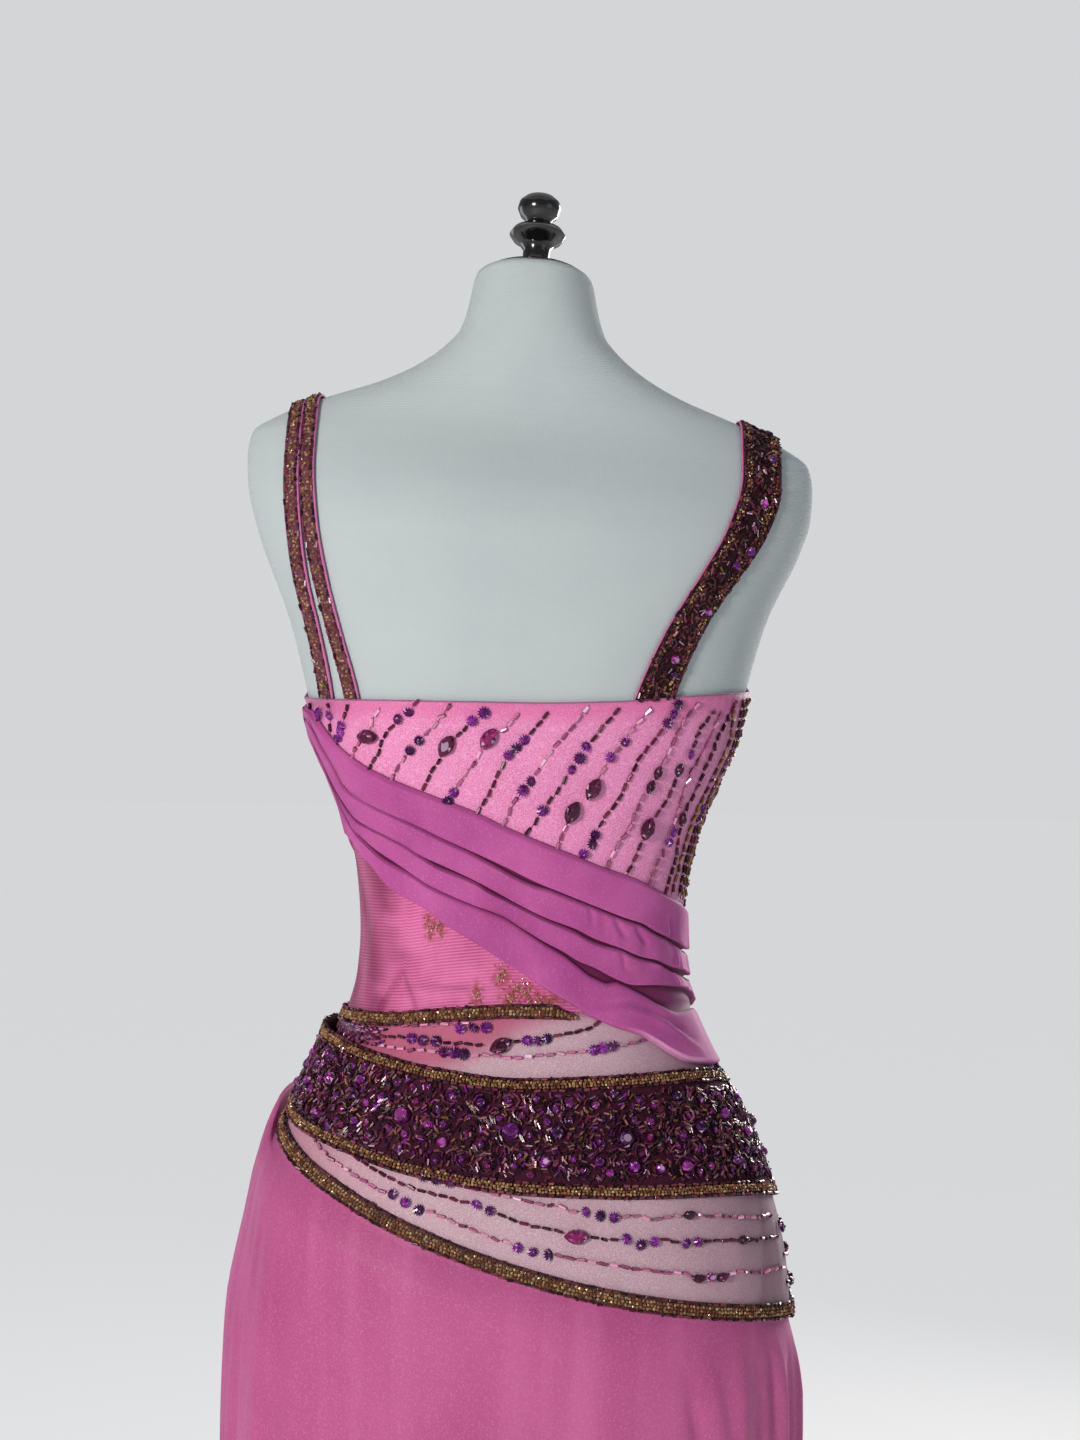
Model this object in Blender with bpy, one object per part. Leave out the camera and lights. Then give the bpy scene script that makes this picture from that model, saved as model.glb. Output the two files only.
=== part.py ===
"""Mermaid evening dress worn on a limbless dress form with a pole and a round base.

Metres, +Z up. The origin is the middle of the base's underside. The garment's front faces
-Y and its left side is at +X. An angle round the body starts at the left side seam (+X) and
runs by the back (+Y, 90 degrees) and the right side seam (180) to the front (270).
"""

import math

import bmesh
import bpy
import numpy as np
from mathutils import Vector

# Columns round half of the body, for the form and the cloth next to it, and for what lies outside that
HALF_COLUMNS = 16
FINE_COLUMNS = 32

# Gap at a sewn seam, and how far a piece is kept from what carries it
SEAM_GAP = 0.0003
SEAT_GAP = 0.0003

# The cloth's layers, measured out from the form: the panels, then what is sewn on them
PANEL_INSIDE = 0.0012
PANEL_OUTSIDE = 0.0025
TRIM_INSIDE = 0.0030

# The form: level sections of the torso
BODY_POWER = 2.35
BODY_COLUMNS = ("height", "half_width", "front", "back")
BODY = np.array([
    (0.735, 0.163, 0.090, 0.098),
    (0.765, 0.177, 0.097, 0.110),
    (0.800, 0.181, 0.101, 0.119),
    (0.835, 0.178, 0.103, 0.123),
    (0.868, 0.171, 0.103, 0.121),
    (0.900, 0.160, 0.101, 0.114),
    (0.933, 0.145, 0.097, 0.104),
    (0.967, 0.124, 0.091, 0.093),
    (1.000, 0.110, 0.086, 0.085),
    (1.020, 0.105, 0.084, 0.082),
    (1.045, 0.103, 0.084, 0.081),
    (1.085, 0.1065, 0.087, 0.084),
    (1.125, 0.1155, 0.092, 0.089),
    (1.152, 0.1265, 0.096, 0.093),
    (1.179, 0.1385, 0.099, 0.096),
    (1.200, 0.1435, 0.100, 0.098),
    (1.254, 0.158, 0.100, 0.100),
    (1.307, 0.180, 0.088, 0.094),
    (1.333, 0.187, 0.076, 0.084),
    (1.352, 0.188, 0.062, 0.071),
    (1.368, 0.185, 0.050, 0.058),
    (1.380, 0.168, 0.042, 0.050),
    (1.392, 0.142, 0.036, 0.045),
    (1.408, 0.099, 0.033, 0.042),
    (1.420, 0.076, 0.036, 0.042),
    (1.432, 0.060, 0.040, 0.043),
    (1.445, 0.0485, 0.043, 0.045),
    (1.460, 0.0435, 0.043, 0.046),
    (1.475, 0.0405, 0.042, 0.045),
    (1.495, 0.0370, 0.040, 0.043),
])
TORSO_LEVELS = (0.735, 0.765, 0.800, 0.840, 0.885, 0.925, 0.955, 0.975, 0.995, 1.015, 1.035, 1.060,
                1.090, 1.125, 1.162, 1.200, 1.240, 1.275, 1.307, 1.333, 1.352, 1.366, 1.376, 1.386,
                1.396)
NECK_ROWS = 5
NECK_HEIGHT = 1.478
NECK_SLOPE = 0.23
BUST_HEIGHT = 1.215
BUST_APART = 0.140
BUST_REACH = 0.055
BUST_TALL_REACH = 0.063
BUST_DEPTH = 0.020
# One shoulder stands a little higher than the other
SHOULDER_TILT = 0.045
TILT_START = 1.25
TILT_END = 1.35

# The stand
BASE_RADIUS = 0.170
BASE_THICKNESS = 0.012
HUB_RADIUS = 0.030
HUB_HEIGHT = 0.040
POLE_RADIUS = 0.014
FINIAL_PROFILE = (
    (0.035, 0.000), (0.036, 0.003), (0.033, 0.007), (0.014, 0.010), (0.009, 0.016), (0.009, 0.025),
    (0.012, 0.030), (0.018, 0.034), (0.018, 0.038), (0.011, 0.042), (0.008, 0.045), (0.012, 0.049),
    (0.0145, 0.055), (0.0125, 0.061), (0.006, 0.0645),
)

# Heights of the edges and sewn lines round the body, every 22.5 degrees from the left side seam
LINE_COLUMNS = ("angle", "top_edge", "sash_top", "pleat_a", "pleat_b", "pleat_c", "sash_bottom",
                "waist_seam", "belt_top", "belt_bottom", "skirt_seam")
LINES = np.array([
    (0.0, 1.203, 1.174, 1.160, 1.143, 1.118, 1.096, 0.991, 0.982, 0.932, 0.924),
    (22.5, 1.201, 1.163, 1.146, 1.131, 1.109, 1.090, 0.993, 0.980, 0.924, 0.914),
    (45.0, 1.200, 1.146, 1.129, 1.111, 1.096, 1.076, 0.995, 0.975, 0.9155, 0.8965),
    (67.5, 1.200, 1.132, 1.110, 1.089, 1.074, 1.054, 1.001, 0.968, 0.903, 0.872),
    (90.0, 1.200, 1.112, 1.087, 1.069, 1.054, 1.024, 1.0045, 0.9635, 0.8945, 0.849),
    (112.5, 1.202, 1.094, 1.071, 1.050, 1.030, 0.999, 1.004, 0.965, 0.892, 0.832),
    (135.0, 1.207, 1.079, 1.055, 1.037, 1.011, 0.981, 0.989, 0.966, 0.890, 0.820),
    (157.5, 1.210, 1.070, 1.047, 1.028, 1.000, 0.969, 0.978, 0.963, 0.884, 0.811),
    (180.0, 1.212, 1.064, 1.043, 1.021, 0.991, 0.961, 0.971, 0.957, 0.876, 0.804),
    (202.5, 1.222, 1.062, 1.041, 1.020, 0.992, 0.964, 0.973, 0.959, 0.880, 0.818),
    (225.0, 1.245, 1.066, 1.045, 1.024, 0.999, 0.973, 0.981, 0.964, 0.888, 0.840),
    (247.5, 1.262, 1.076, 1.056, 1.036, 1.013, 0.989, 0.993, 0.969, 0.899, 0.866),
    (270.0, 1.254, 1.092, 1.073, 1.054, 1.033, 1.011, 0.997, 0.974, 0.912, 0.892),
    (292.5, 1.262, 1.112, 1.095, 1.077, 1.057, 1.036, 0.993, 0.979, 0.925, 0.912),
    (315.0, 1.243, 1.134, 1.119, 1.102, 1.082, 1.062, 0.990, 0.982, 0.936, 0.926),
    (337.5, 1.215, 1.156, 1.142, 1.125, 1.104, 1.083, 0.990, 0.983, 0.939, 0.931),
])

# The sash: how far each fold stands out from the form on its way down from one pleat to the next
SASH_LINES = ("sash_top", "pleat_a", "pleat_b", "pleat_c", "sash_bottom")
SASH_CLOTH = 0.0013
SASH_OVERLAP = 0.014
FOLD_PROFILE = ((0.00, 0.0046), (0.30, 0.0072), (0.96, 0.0084))

# The beaded bands
NARROW_BAND = 0.0090
NARROW_BAND_END = 109.0
NARROW_BAND_FRONT = 254.0
LOW_BAND = 0.0107
BAND_OUTSIDE = 0.0050
BAND_CROWN = 0.0062
BELT_OUTSIDE = 0.0048
ROPE_OUTSIDE = 0.0064
STONE_OUTSIDE = 0.0082
# The belt's upper edge stands away from the body at the left side
BELT_FLARE = 0.010
BELT_FLARE_SPREAD = 30.0
STONE_EVERY = 3
BELT_SHARES = (0.0, 0.12, 0.25, 0.42, 0.58, 0.75, 0.88, 1.0)
STONE_ROWS = (3, 5, 2, 4)

# The straps: where each runs across the shoulder, from the back edge (0) to the front edge (1)
STRAP_COLUMNS = ("share", "left_outer", "left_inner", "right")
STRAPS = np.array([
    (0.000, 0.1305, 0.1135, -0.081),
    (0.065, 0.1370, 0.1235, -0.098),
    (0.160, 0.1435, 0.1310, -0.121),
    (0.270, 0.1490, 0.1387, -0.139),
    (0.390, 0.1526, 0.1428, -0.149),
    (0.500, 0.1530, 0.1432, -0.150),
    (0.620, 0.1500, 0.1400, -0.147),
    (0.800, 0.1330, 0.1225, -0.130),
    (1.000, 0.1120, 0.1010, -0.106),
])
STRAP_STATIONS = 31
STRAP_CROWDING = 0.6
STRAP_CENTRE = 1.29
SHOULDER_REACH = 0.25
STRAP_INSIDE = 0.0005
STRAP_OUTSIDE = 0.0022
SLIM_STRAP = 0.0094
WIDE_STRAP = 0.0260

# The skirt below its seam: half width, front and back depth, a shift to the left, and the outline's power
SKIRT_COLUMNS = ("height", "half_width", "front", "back", "shift", "power")
SKIRT = np.array([
    (0.015, 0.345, 0.330, 0.350, 0.000, 2.00),
    (0.100, 0.312, 0.294, 0.312, 0.000, 2.00),
    (0.200, 0.262, 0.240, 0.258, 0.000, 2.05),
    (0.300, 0.214, 0.188, 0.206, 0.000, 2.10),
    (0.380, 0.184, 0.154, 0.170, 0.000, 2.15),
    (0.450, 0.172, 0.136, 0.148, 0.000, 2.20),
    (0.520, 0.172, 0.127, 0.137, 0.001, 2.30),
    (0.620, 0.184, 0.124, 0.135, 0.002, 2.35),
    (0.720, 0.192, 0.122, 0.135, 0.001, 2.35),
    (0.800, 0.192, 0.119, 0.133, 0.004, 2.35),
    (0.840, 0.187, 0.117, 0.131, 0.005, 2.35),
    (0.880, 0.1735, 0.115, 0.127, 0.003, 2.35),
    (0.940, 0.154, 0.108, 0.116, 0.002, 2.35),
])
SKIRT_CLOTH = 0.0014
SKIRT_LEVELS = (0.720, 0.620, 0.520, 0.440, 0.360, 0.280, 0.190, 0.100, 0.015)
# Just below its seam the skirt leaves the form. Columns: the way down and out where it is plain,
# the way down and out where it puffs, and how much of the place comes from the skirt's own sections
PUFF = np.array([
    (0.0000, 0.0000, 0.0000, 0.0000, 0.00),
    (0.0070, 0.0000, 0.0070, 0.0000, 0.00),
    (0.0110, 0.0010, 0.0080, 0.0075, 0.05),
    (0.0170, 0.0030, -0.0060, 0.0130, 0.15),
    (0.0260, 0.0060, -0.0050, 0.0210, 0.40),
    (0.0380, 0.0080, 0.0130, 0.0260, 0.80),
    (0.0520, 0.0090, 0.0400, 0.0280, 1.00),
])
PUFF_MIDDLE = -24.0
PUFF_SPREAD = 34.0
FLUTES = 9
FLUTE_DEPTH = 0.030
FLUTE_START = 0.52
FLUTE_MEAN = 0.35
FLUTE_SWAY = 0.5
FLUTE_SWAY_TURN = 0.7
FLUTE_TURN = 0.4
SIDE_FOLD_DEPTH = 0.0045
SIDE_FOLD_SPREAD = 38.0
SIDE_FOLD_WIDTH = 18.0
SIDE_FOLD_FOOT = (0.45, 0.62)
SIDE_FOLD_HEAD = (0.86, 0.91)

# Colour (linear), roughness and metallic value of each finish
FINISHES = {
    "linen": ((0.50, 0.58, 0.58), 0.85, 0.0),
    "lacquer": ((0.004, 0.004, 0.005), 0.12, 0.0),
    "bodice_satin": ((0.70, 0.16, 0.47), 0.45, 0.0),
    "waist_mesh": ((0.46, 0.09, 0.30), 0.55, 0.0),
    "chiffon": ((0.42, 0.09, 0.28), 0.60, 0.0),
    "net": ((0.58, 0.38, 0.44), 0.65, 0.0),
    "crepe": ((0.50, 0.11, 0.32), 0.50, 0.0),
    "beading": ((0.16, 0.07, 0.02), 0.35, 0.4),
    "dark_beading": ((0.05, 0.008, 0.02), 0.30, 0.2),
}


def smooth_curve(places, values, at):
    """Values at the places asked, on a smooth curve that never overshoots the given ones."""
    places, values = np.asarray(places, float), np.asarray(values, float)
    step, rise = np.diff(places), np.diff(values)
    slope = rise / step
    before, after = slope[:-1], slope[1:]
    weight_a, weight_b = 2 * step[1:] + step[:-1], step[1:] + 2 * step[:-1]
    same_way = before * after > 0
    safe_before, safe_after = np.where(same_way, before, 1.0), np.where(same_way, after, 1.0)
    mean = (weight_a + weight_b) / (weight_a / safe_before + weight_b / safe_after)
    tangent = np.concatenate(([slope[0]], np.where(same_way, mean, 0.0), [slope[-1]]))
    index = np.clip(np.searchsorted(places, at) - 1, 0, len(step) - 1)
    part = np.clip((at - places[index]) / step[index], 0.0, 1.0)
    ease = part * part * (3 - 2 * part)
    start_pull = part * (1 - part) ** 2 * tangent[index]
    end_pull = part * part * (1 - part) * tangent[index + 1]
    return values[index] + ease * rise[index] + (start_pull - end_pull) * step[index]


def section(table, columns, name, height):
    """One column of a table of level sections, read at any height."""
    return smooth_curve(table[:, 0], table[:, columns.index(name)], height)


def line_height(name, theta):
    """Height of a sewn line round the body at an angle in radians."""
    values = LINES[:, LINE_COLUMNS.index(name)]
    angles = np.concatenate((LINES[-2:, 0] - 360, LINES[:, 0], LINES[:2, 0] + 360))
    around = np.concatenate((values[-2:], values, values[:2]))
    return smooth_curve(angles, around, np.degrees(theta) % 360)


def ease_in(value, start, end):
    """0 before start, 1 after end, smooth between them."""
    part = np.clip((value - start) / (end - start), 0.0, 1.0)
    return part * part * (3 - 2 * part)


def degrees_from_left(theta):
    """Angle from the left side seam in degrees, below 0 towards the front."""
    return (np.degrees(theta) + 180) % 360 - 180


def bust(x, height):
    """How far the bust of the form stands in front of its level section."""
    up = ((height - BUST_HEIGHT) / BUST_TALL_REACH) ** 2
    return BUST_DEPTH * sum(
        np.exp(-up - ((x - side * BUST_APART / 2) / BUST_REACH) ** 2) for side in (-1, 1))


def outline(theta, power):
    """Unit superellipse: x and y at an angle."""
    cosine, sine = np.cos(theta), np.sin(theta)
    reach = (np.abs(cosine) ** power + np.abs(sine) ** power) ** (-1 / power)
    return cosine * reach, sine * reach


def body_point(theta, height):
    """Point on the form before the shoulders are tilted."""
    unit_x, unit_y = outline(theta, BODY_POWER)
    x = section(BODY, BODY_COLUMNS, "half_width", height) * unit_x
    front = section(BODY, BODY_COLUMNS, "front", height) + bust(x, height)
    back = section(BODY, BODY_COLUMNS, "back", height)
    return np.stack(np.broadcast_arrays(x, np.where(unit_y < 0, front, back) * unit_y, height), -1)


def unit(vectors):
    """Vectors made one long."""
    return vectors / np.linalg.norm(vectors, axis=-1, keepdims=True)


def body_surface(theta, height, out):
    """Point moved out from the form, square to it."""
    theta, height = np.broadcast_arrays(theta, height)
    turn, lift = 0.002, 0.001
    along = body_point(theta + turn, height) - body_point(theta - turn, height)
    up = body_point(theta, height + lift) - body_point(theta, height - lift)
    return body_point(theta, height) + unit(np.cross(along, up)) * np.asarray(out)[..., None]


def tilt_shoulders(points):
    """Raise the left shoulder a little over the right one."""
    points = np.array(points, float)
    share = ease_in(points[..., 2], TILT_START, TILT_END)
    points[..., 2] += SHOULDER_TILT * points[..., 0] * share
    return points


def half_angles(side, columns, height, gap=SEAM_GAP):
    """Angles of one half's columns at each height, stopping short of the side seams by half a gap."""
    depth = section(BODY, BODY_COLUMNS, side, height)
    inset = gap / 2 / depth
    share = np.linspace(0, 1, columns + 1)
    first = 0.0 if side == "back" else math.pi
    return first + inset + share * (math.pi - 2 * inset)


def finish(name):
    """A Principled material with the colour, roughness and metallic value of a finish."""
    material = bpy.data.materials.new(name)
    material.use_nodes = True
    shader = material.node_tree.nodes["Principled BSDF"]
    colour, roughness, metallic = FINISHES[name]
    shader.inputs["Base Color"].default_value = (*colour, 1.0)
    shader.inputs["Roughness"].default_value = roughness
    shader.inputs["Metallic"].default_value = metallic
    return material


def add_solid(name, points, faces, finish_name, sharp_angle=40.0):
    """One closed body as a named object, with its faces turned out."""
    mesh = bpy.data.meshes.new(name)
    mesh.from_pydata([tuple(p) for p in points], [], faces)
    edit = bmesh.new()
    edit.from_mesh(mesh)
    bmesh.ops.recalc_face_normals(edit, faces=edit.faces)
    edit.to_mesh(mesh)
    edit.free()
    mesh.shade_smooth()
    mesh.set_sharp_from_angle(angle=math.radians(sharp_angle))
    mesh.materials.append(finish(finish_name))
    solid = bpy.data.objects.new(name, mesh)
    bpy.context.scene.collection.objects.link(solid)
    return solid


def wall(name, outer, inner, finish_name):
    """Closed cloth wall between an outer and an inner grid of points."""
    rows, columns = outer.shape[:2]
    points = np.concatenate((outer.reshape(-1, 3), inner.reshape(-1, 3)))
    count = rows * columns
    faces = []
    for r in range(rows - 1):
        for c in range(columns - 1):
            quad = (r * columns + c, (r + 1) * columns + c, (r + 1) * columns + c + 1, r * columns + c + 1)
            faces.append(quad)
            faces.append(tuple(count + i for i in reversed(quad)))
    rim = [(0, c) for c in range(columns)] + [(r, columns - 1) for r in range(1, rows)]
    rim += [(rows - 1, c) for c in range(columns - 2, -1, -1)] + [(r, 0) for r in range(rows - 2, 0, -1)]
    rim = [r * columns + c for r, c in rim]
    for here, there in zip(rim, rim[1:] + rim[:1]):
        faces.append((here, there, count + there, count + here))
    return add_solid(name, points, faces, finish_name)


def rings_solid(name, rings, top, bottom, finish_name):
    """Closed body through rings of points from the bottom up, with a point at each end."""
    count, sides = rings.shape[:2]
    points = np.concatenate((rings.reshape(-1, 3), [bottom, top]))
    low, high = count * sides, count * sides + 1
    faces = []
    for i in range(sides):
        j = (i + 1) % sides
        faces.append((low, j, i))
        faces.append((high, (count - 1) * sides + i, (count - 1) * sides + j))
        for k in range(count - 1):
            faces.append((k * sides + i, k * sides + j, (k + 1) * sides + j, (k + 1) * sides + i))
    return add_solid(name, points, faces, finish_name)


def turned(name, profile, sides, finish_name):
    """Turned piece from a profile of radius and height, closed at both ends."""
    turn = np.linspace(0, 2 * math.pi, sides, endpoint=False)
    profile = np.array(profile)
    rings = np.stack((profile[:, :1] * np.cos(turn), profile[:, :1] * np.sin(turn),
                      profile[:, 1:] + 0 * turn), -1)
    return rings_solid(name, rings, (0, 0, profile[-1, 1]), (0, 0, profile[0, 1]), finish_name)


def panel(name, side, top_line, bottom_line, rows, finish_name, above_top=0.0, above_bottom=0.0):
    """Close fitting panel of one half, from one sewn line down to another."""
    share = np.linspace(0, 1, rows)[:, None]
    rough = half_angles(side, HALF_COLUMNS, 1.0)
    high = line_height(top_line, rough) + above_top
    low = line_height(bottom_line, rough) + above_bottom
    height = high + (low - high) * share
    theta = half_angles(side, HALF_COLUMNS, height[:, :1])
    outer, inner = (tilt_shoulders(body_surface(theta, height, np.full(height.shape, out)))
                    for out in (PANEL_OUTSIDE, PANEL_INSIDE))
    return wall(name, outer, inner, finish_name)


def build_form():
    """The padded torso, the turned finial on its neck, the pole and the round base."""
    theta = np.linspace(0, 2 * math.pi, 2 * HALF_COLUMNS, endpoint=False)
    neck = np.full(theta.shape, NECK_HEIGHT)
    for _ in range(6):
        neck = NECK_HEIGHT + NECK_SLOPE * body_point(theta, neck)[:, 1]
    levels = [np.full(theta.shape, level) for level in TORSO_LEVELS]
    shoulder = levels[-1]
    levels += [shoulder + (neck - shoulder) * row / NECK_ROWS for row in range(1, NECK_ROWS + 1)]
    rings = tilt_shoulders(np.array([body_point(theta, level) for level in levels]))
    rings_solid("form_torso", rings, (0, 0, NECK_HEIGHT), (0, 0, TORSO_LEVELS[0]), "linen")

    finial = turned("form_neck_cap", FINIAL_PROFILE, 18, "lacquer")
    neck_axis = Vector((-SHOULDER_TILT, -NECK_SLOPE, 1)).normalized()
    finial.location = Vector((0, 0, NECK_HEIGHT)) + neck_axis * SEAT_GAP
    finial.rotation_euler = neck_axis.to_track_quat("Z", "Y").to_euler()

    pole_foot = HUB_HEIGHT + SEAT_GAP
    pole_top = TORSO_LEVELS[0] - SEAT_GAP
    turned("form_pole", ((POLE_RADIUS, pole_foot), (POLE_RADIUS, pole_top)), 20, "lacquer")
    edge = 0.002
    turned("form_base", (
        (BASE_RADIUS - edge, 0), (BASE_RADIUS, edge), (BASE_RADIUS, BASE_THICKNESS - edge),
        (BASE_RADIUS - edge, BASE_THICKNESS), (HUB_RADIUS, BASE_THICKNESS + edge),
        (HUB_RADIUS, HUB_HEIGHT)), 40, "lacquer")


def build_sash(side):
    """One half of the wrapped sash: four folds, each overhanging the one below."""
    rough = half_angles(side, HALF_COLUMNS, 1.06)
    lines = [line_height(name, rough) for name in SASH_LINES]
    heights, outs = [], []
    for high, low in zip(lines, lines[1:]):
        for share, out in FOLD_PROFILE:
            heights.append(high + (low - high) * share)
            outs.append(out)
    heights.append(lines[-1])
    outs.append(FOLD_PROFILE[-1][1])
    height = np.array(heights)
    theta = half_angles(side, HALF_COLUMNS, height[:, :1])
    out = np.broadcast_to(np.array(outs)[:, None], height.shape)
    outer = tilt_shoulders(body_surface(theta, height, out))
    inner = tilt_shoulders(body_surface(theta, height, out - SASH_CLOTH))
    wall("sash_" + side, outer, inner, "chiffon")


def build_belt(side):
    """One half of the wide belt: a rope of beads along each edge and raised stones between."""
    rough = half_angles(side, FINE_COLUMNS, 0.93)
    share = np.array(BELT_SHARES)[:, None]
    high, low = line_height("belt_top", rough), line_height("belt_bottom", rough)
    height = high + (low - high) * share
    theta = half_angles(side, FINE_COLUMNS, height[:, :1])
    out = np.full(height.shape, BELT_OUTSIDE)
    out[1], out[-2] = ROPE_OUTSIDE, ROPE_OUTSIDE
    for number, column in enumerate(range(2, FINE_COLUMNS - 1, STONE_EVERY)):
        out[STONE_ROWS[number % len(STONE_ROWS)], column] = STONE_OUTSIDE
    degrees = degrees_from_left(theta)
    flare = BELT_FLARE * np.exp(-(degrees / BELT_FLARE_SPREAD) ** 2) * (1 - share)
    outer = body_surface(theta, height, out + flare)
    inner = body_surface(theta, height, TRIM_INSIDE + flare)
    wall("belt_" + side, outer, inner, "dark_beading")


def build_band(name, side, line, width, first=0.0, last=180.0):
    """One half of a narrow beaded band, crowned along its middle, over a sewn line."""
    centre = half_angles(side, FINE_COLUMNS, 0.95)
    start = 0.0 if side == "back" else 180.0
    degrees = np.degrees(centre)
    kept = degrees[(degrees >= start + first - 0.1) & (degrees <= start + last + 0.1)]
    theta = np.radians(kept)[None, :]
    middle = line_height(line, theta)
    high, low = middle + width / 2, middle - width / 2
    if line == "waist_seam":
        high = np.minimum(high, line_height("sash_bottom", theta) - 3 * SEAM_GAP)
        low = np.minimum(low, high - width / 4)
    height = np.concatenate((high, (high + low) / 2, low))
    out = np.array((BAND_OUTSIDE, BAND_CROWN, BAND_OUTSIDE))[:, None] + 0 * height
    theta = np.broadcast_to(theta, height.shape)
    inner = body_surface(theta, height, np.full(height.shape, TRIM_INSIDE))
    wall(name, body_surface(theta, height, out), inner, "beading")


def skirt_point(theta, height):
    """Point on the skirt's own sections, without its folds."""
    unit_x, unit_y = outline(theta, section(SKIRT, SKIRT_COLUMNS, "power", height))
    x = section(SKIRT, SKIRT_COLUMNS, "half_width", height) * unit_x
    x = x + section(SKIRT, SKIRT_COLUMNS, "shift", height)
    front, back = (section(SKIRT, SKIRT_COLUMNS, name, height) for name in ("front", "back"))
    return np.stack((x, np.where(unit_y < 0, front, back) * unit_y, height + 0 * x), -1)


def skirt_folds(theta, height):
    """How far the skirt's folds stand out: flutes below the knee, soft folds at the left side."""
    sway = FLUTE_SWAY * np.sin(2 * theta + FLUTE_SWAY_TURN)
    wave = np.cos(FLUTES * theta + sway + FLUTE_TURN)
    flare = 1 - ease_in(height, SKIRT[0, 0], FLUTE_START)
    flutes = FLUTE_DEPTH * flare * (wave - FLUTE_MEAN)
    degrees = degrees_from_left(theta)
    near_left = np.exp(-(degrees / SIDE_FOLD_SPREAD) ** 2)
    side_wave = np.cos(2 * math.pi * degrees / SIDE_FOLD_WIDTH)
    side_share = ease_in(height, *SIDE_FOLD_FOOT) * (1 - ease_in(height, *SIDE_FOLD_HEAD))
    return flutes + SIDE_FOLD_DEPTH * near_left * side_wave * side_share


def skirt_sheet(theta, seam):
    """Middle of the skirt's cloth, row by row from the seam to the hem."""
    degrees = degrees_from_left(theta)
    puff = np.exp(-((degrees - PUFF_MIDDLE) / PUFF_SPREAD) ** 2)
    rows = []
    seated = (PANEL_INSIDE + PANEL_OUTSIDE) / 2
    for plain_down, plain_out, puff_down, puff_out, share in PUFF:
        down = plain_down + (puff_down - plain_down) * puff
        out = seated + plain_out + (puff_out - plain_out) * puff
        base = body_surface(theta, seam - np.maximum(down, 0), out)
        base[..., 2] = seam - down
        rows.append(base * (1 - share) + skirt_point(theta, seam - down) * share)
    last = rows[-1][..., 2]
    for number, level in enumerate(SKIRT_LEVELS):
        height = np.full(theta.shape, level)
        if number == 0:
            height = np.minimum(height, last - 0.03)
        point = skirt_point(theta, height)
        outward = unit(point * (1, 1, 0))
        rows.append(point + outward * skirt_folds(theta, height)[..., None])
    return np.array(rows)


def build_skirt(side):
    """One half of the fitted skirt, puffed at the left hip and flared below the knee."""
    theta = half_angles(side, FINE_COLUMNS, 0.9)
    turn = 0.004
    sheet, before, after = (skirt_sheet(theta + step, line_height("skirt_seam", theta + step) - SEAM_GAP / 2)
                            for step in (0.0, -turn, turn))
    along = after - before
    down = np.gradient(sheet, axis=0)
    normal = unit(np.cross(down, along))
    half = SKIRT_CLOTH / 2
    outer, inner = sheet + normal * half, sheet - normal * half
    # The open sides keep half a seam gap from the other half all the way down
    for grid in (outer, inner):
        edge = SEAM_GAP / 2 if side == "back" else -SEAM_GAP / 2
        grid[:, (0, -1), 1] = edge
    wall("skirt_" + side, outer, inner, "crepe")


def strap_angle(x, height, side):
    """Angle, seen along X, of the form's surface at a place across and a height."""
    half = section(BODY, BODY_COLUMNS, "half_width", height)
    depth = section(BODY, BODY_COLUMNS, side, height)
    if side == "front":
        depth = depth + bust(x, height)
    y = depth * (1 - np.abs(x / half) ** BODY_POWER) ** (1 / BODY_POWER)
    y = -y if side == "front" else y
    return np.arctan2(height - STRAP_CENTRE, y) % (2 * math.pi)


def shoulder_point(x, angle):
    """Where a ray across the shoulder, seen along X, leaves the form."""
    near, far = np.zeros(np.shape(x)), np.full(np.shape(x), SHOULDER_REACH)
    for _ in range(40):
        middle = (near + far) / 2
        y = middle * np.cos(angle)
        height = STRAP_CENTRE + middle * np.sin(angle)
        half = section(BODY, BODY_COLUMNS, "half_width", height)
        front = section(BODY, BODY_COLUMNS, "front", height) + bust(x, height)
        back = section(BODY, BODY_COLUMNS, "back", height)
        inside = np.abs(x / half) ** BODY_POWER + np.abs(y / np.where(y < 0, front, back)) ** BODY_POWER < 1
        near, far = np.where(inside, middle, near), np.where(inside, far, middle)
    return np.stack((x, near * np.cos(angle), STRAP_CENTRE + near * np.sin(angle)), -1)


def edge_height(x, side):
    """Height of the bodice's top edge where a strap meets it."""
    first = 0.0 if side == "back" else math.pi
    theta = np.linspace(first, first + math.pi, 400)
    edge = line_height("top_edge", theta)
    across = body_point(theta, edge)[:, 0]
    order = np.argsort(across)
    return np.interp(x, across[order], edge[order])


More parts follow.
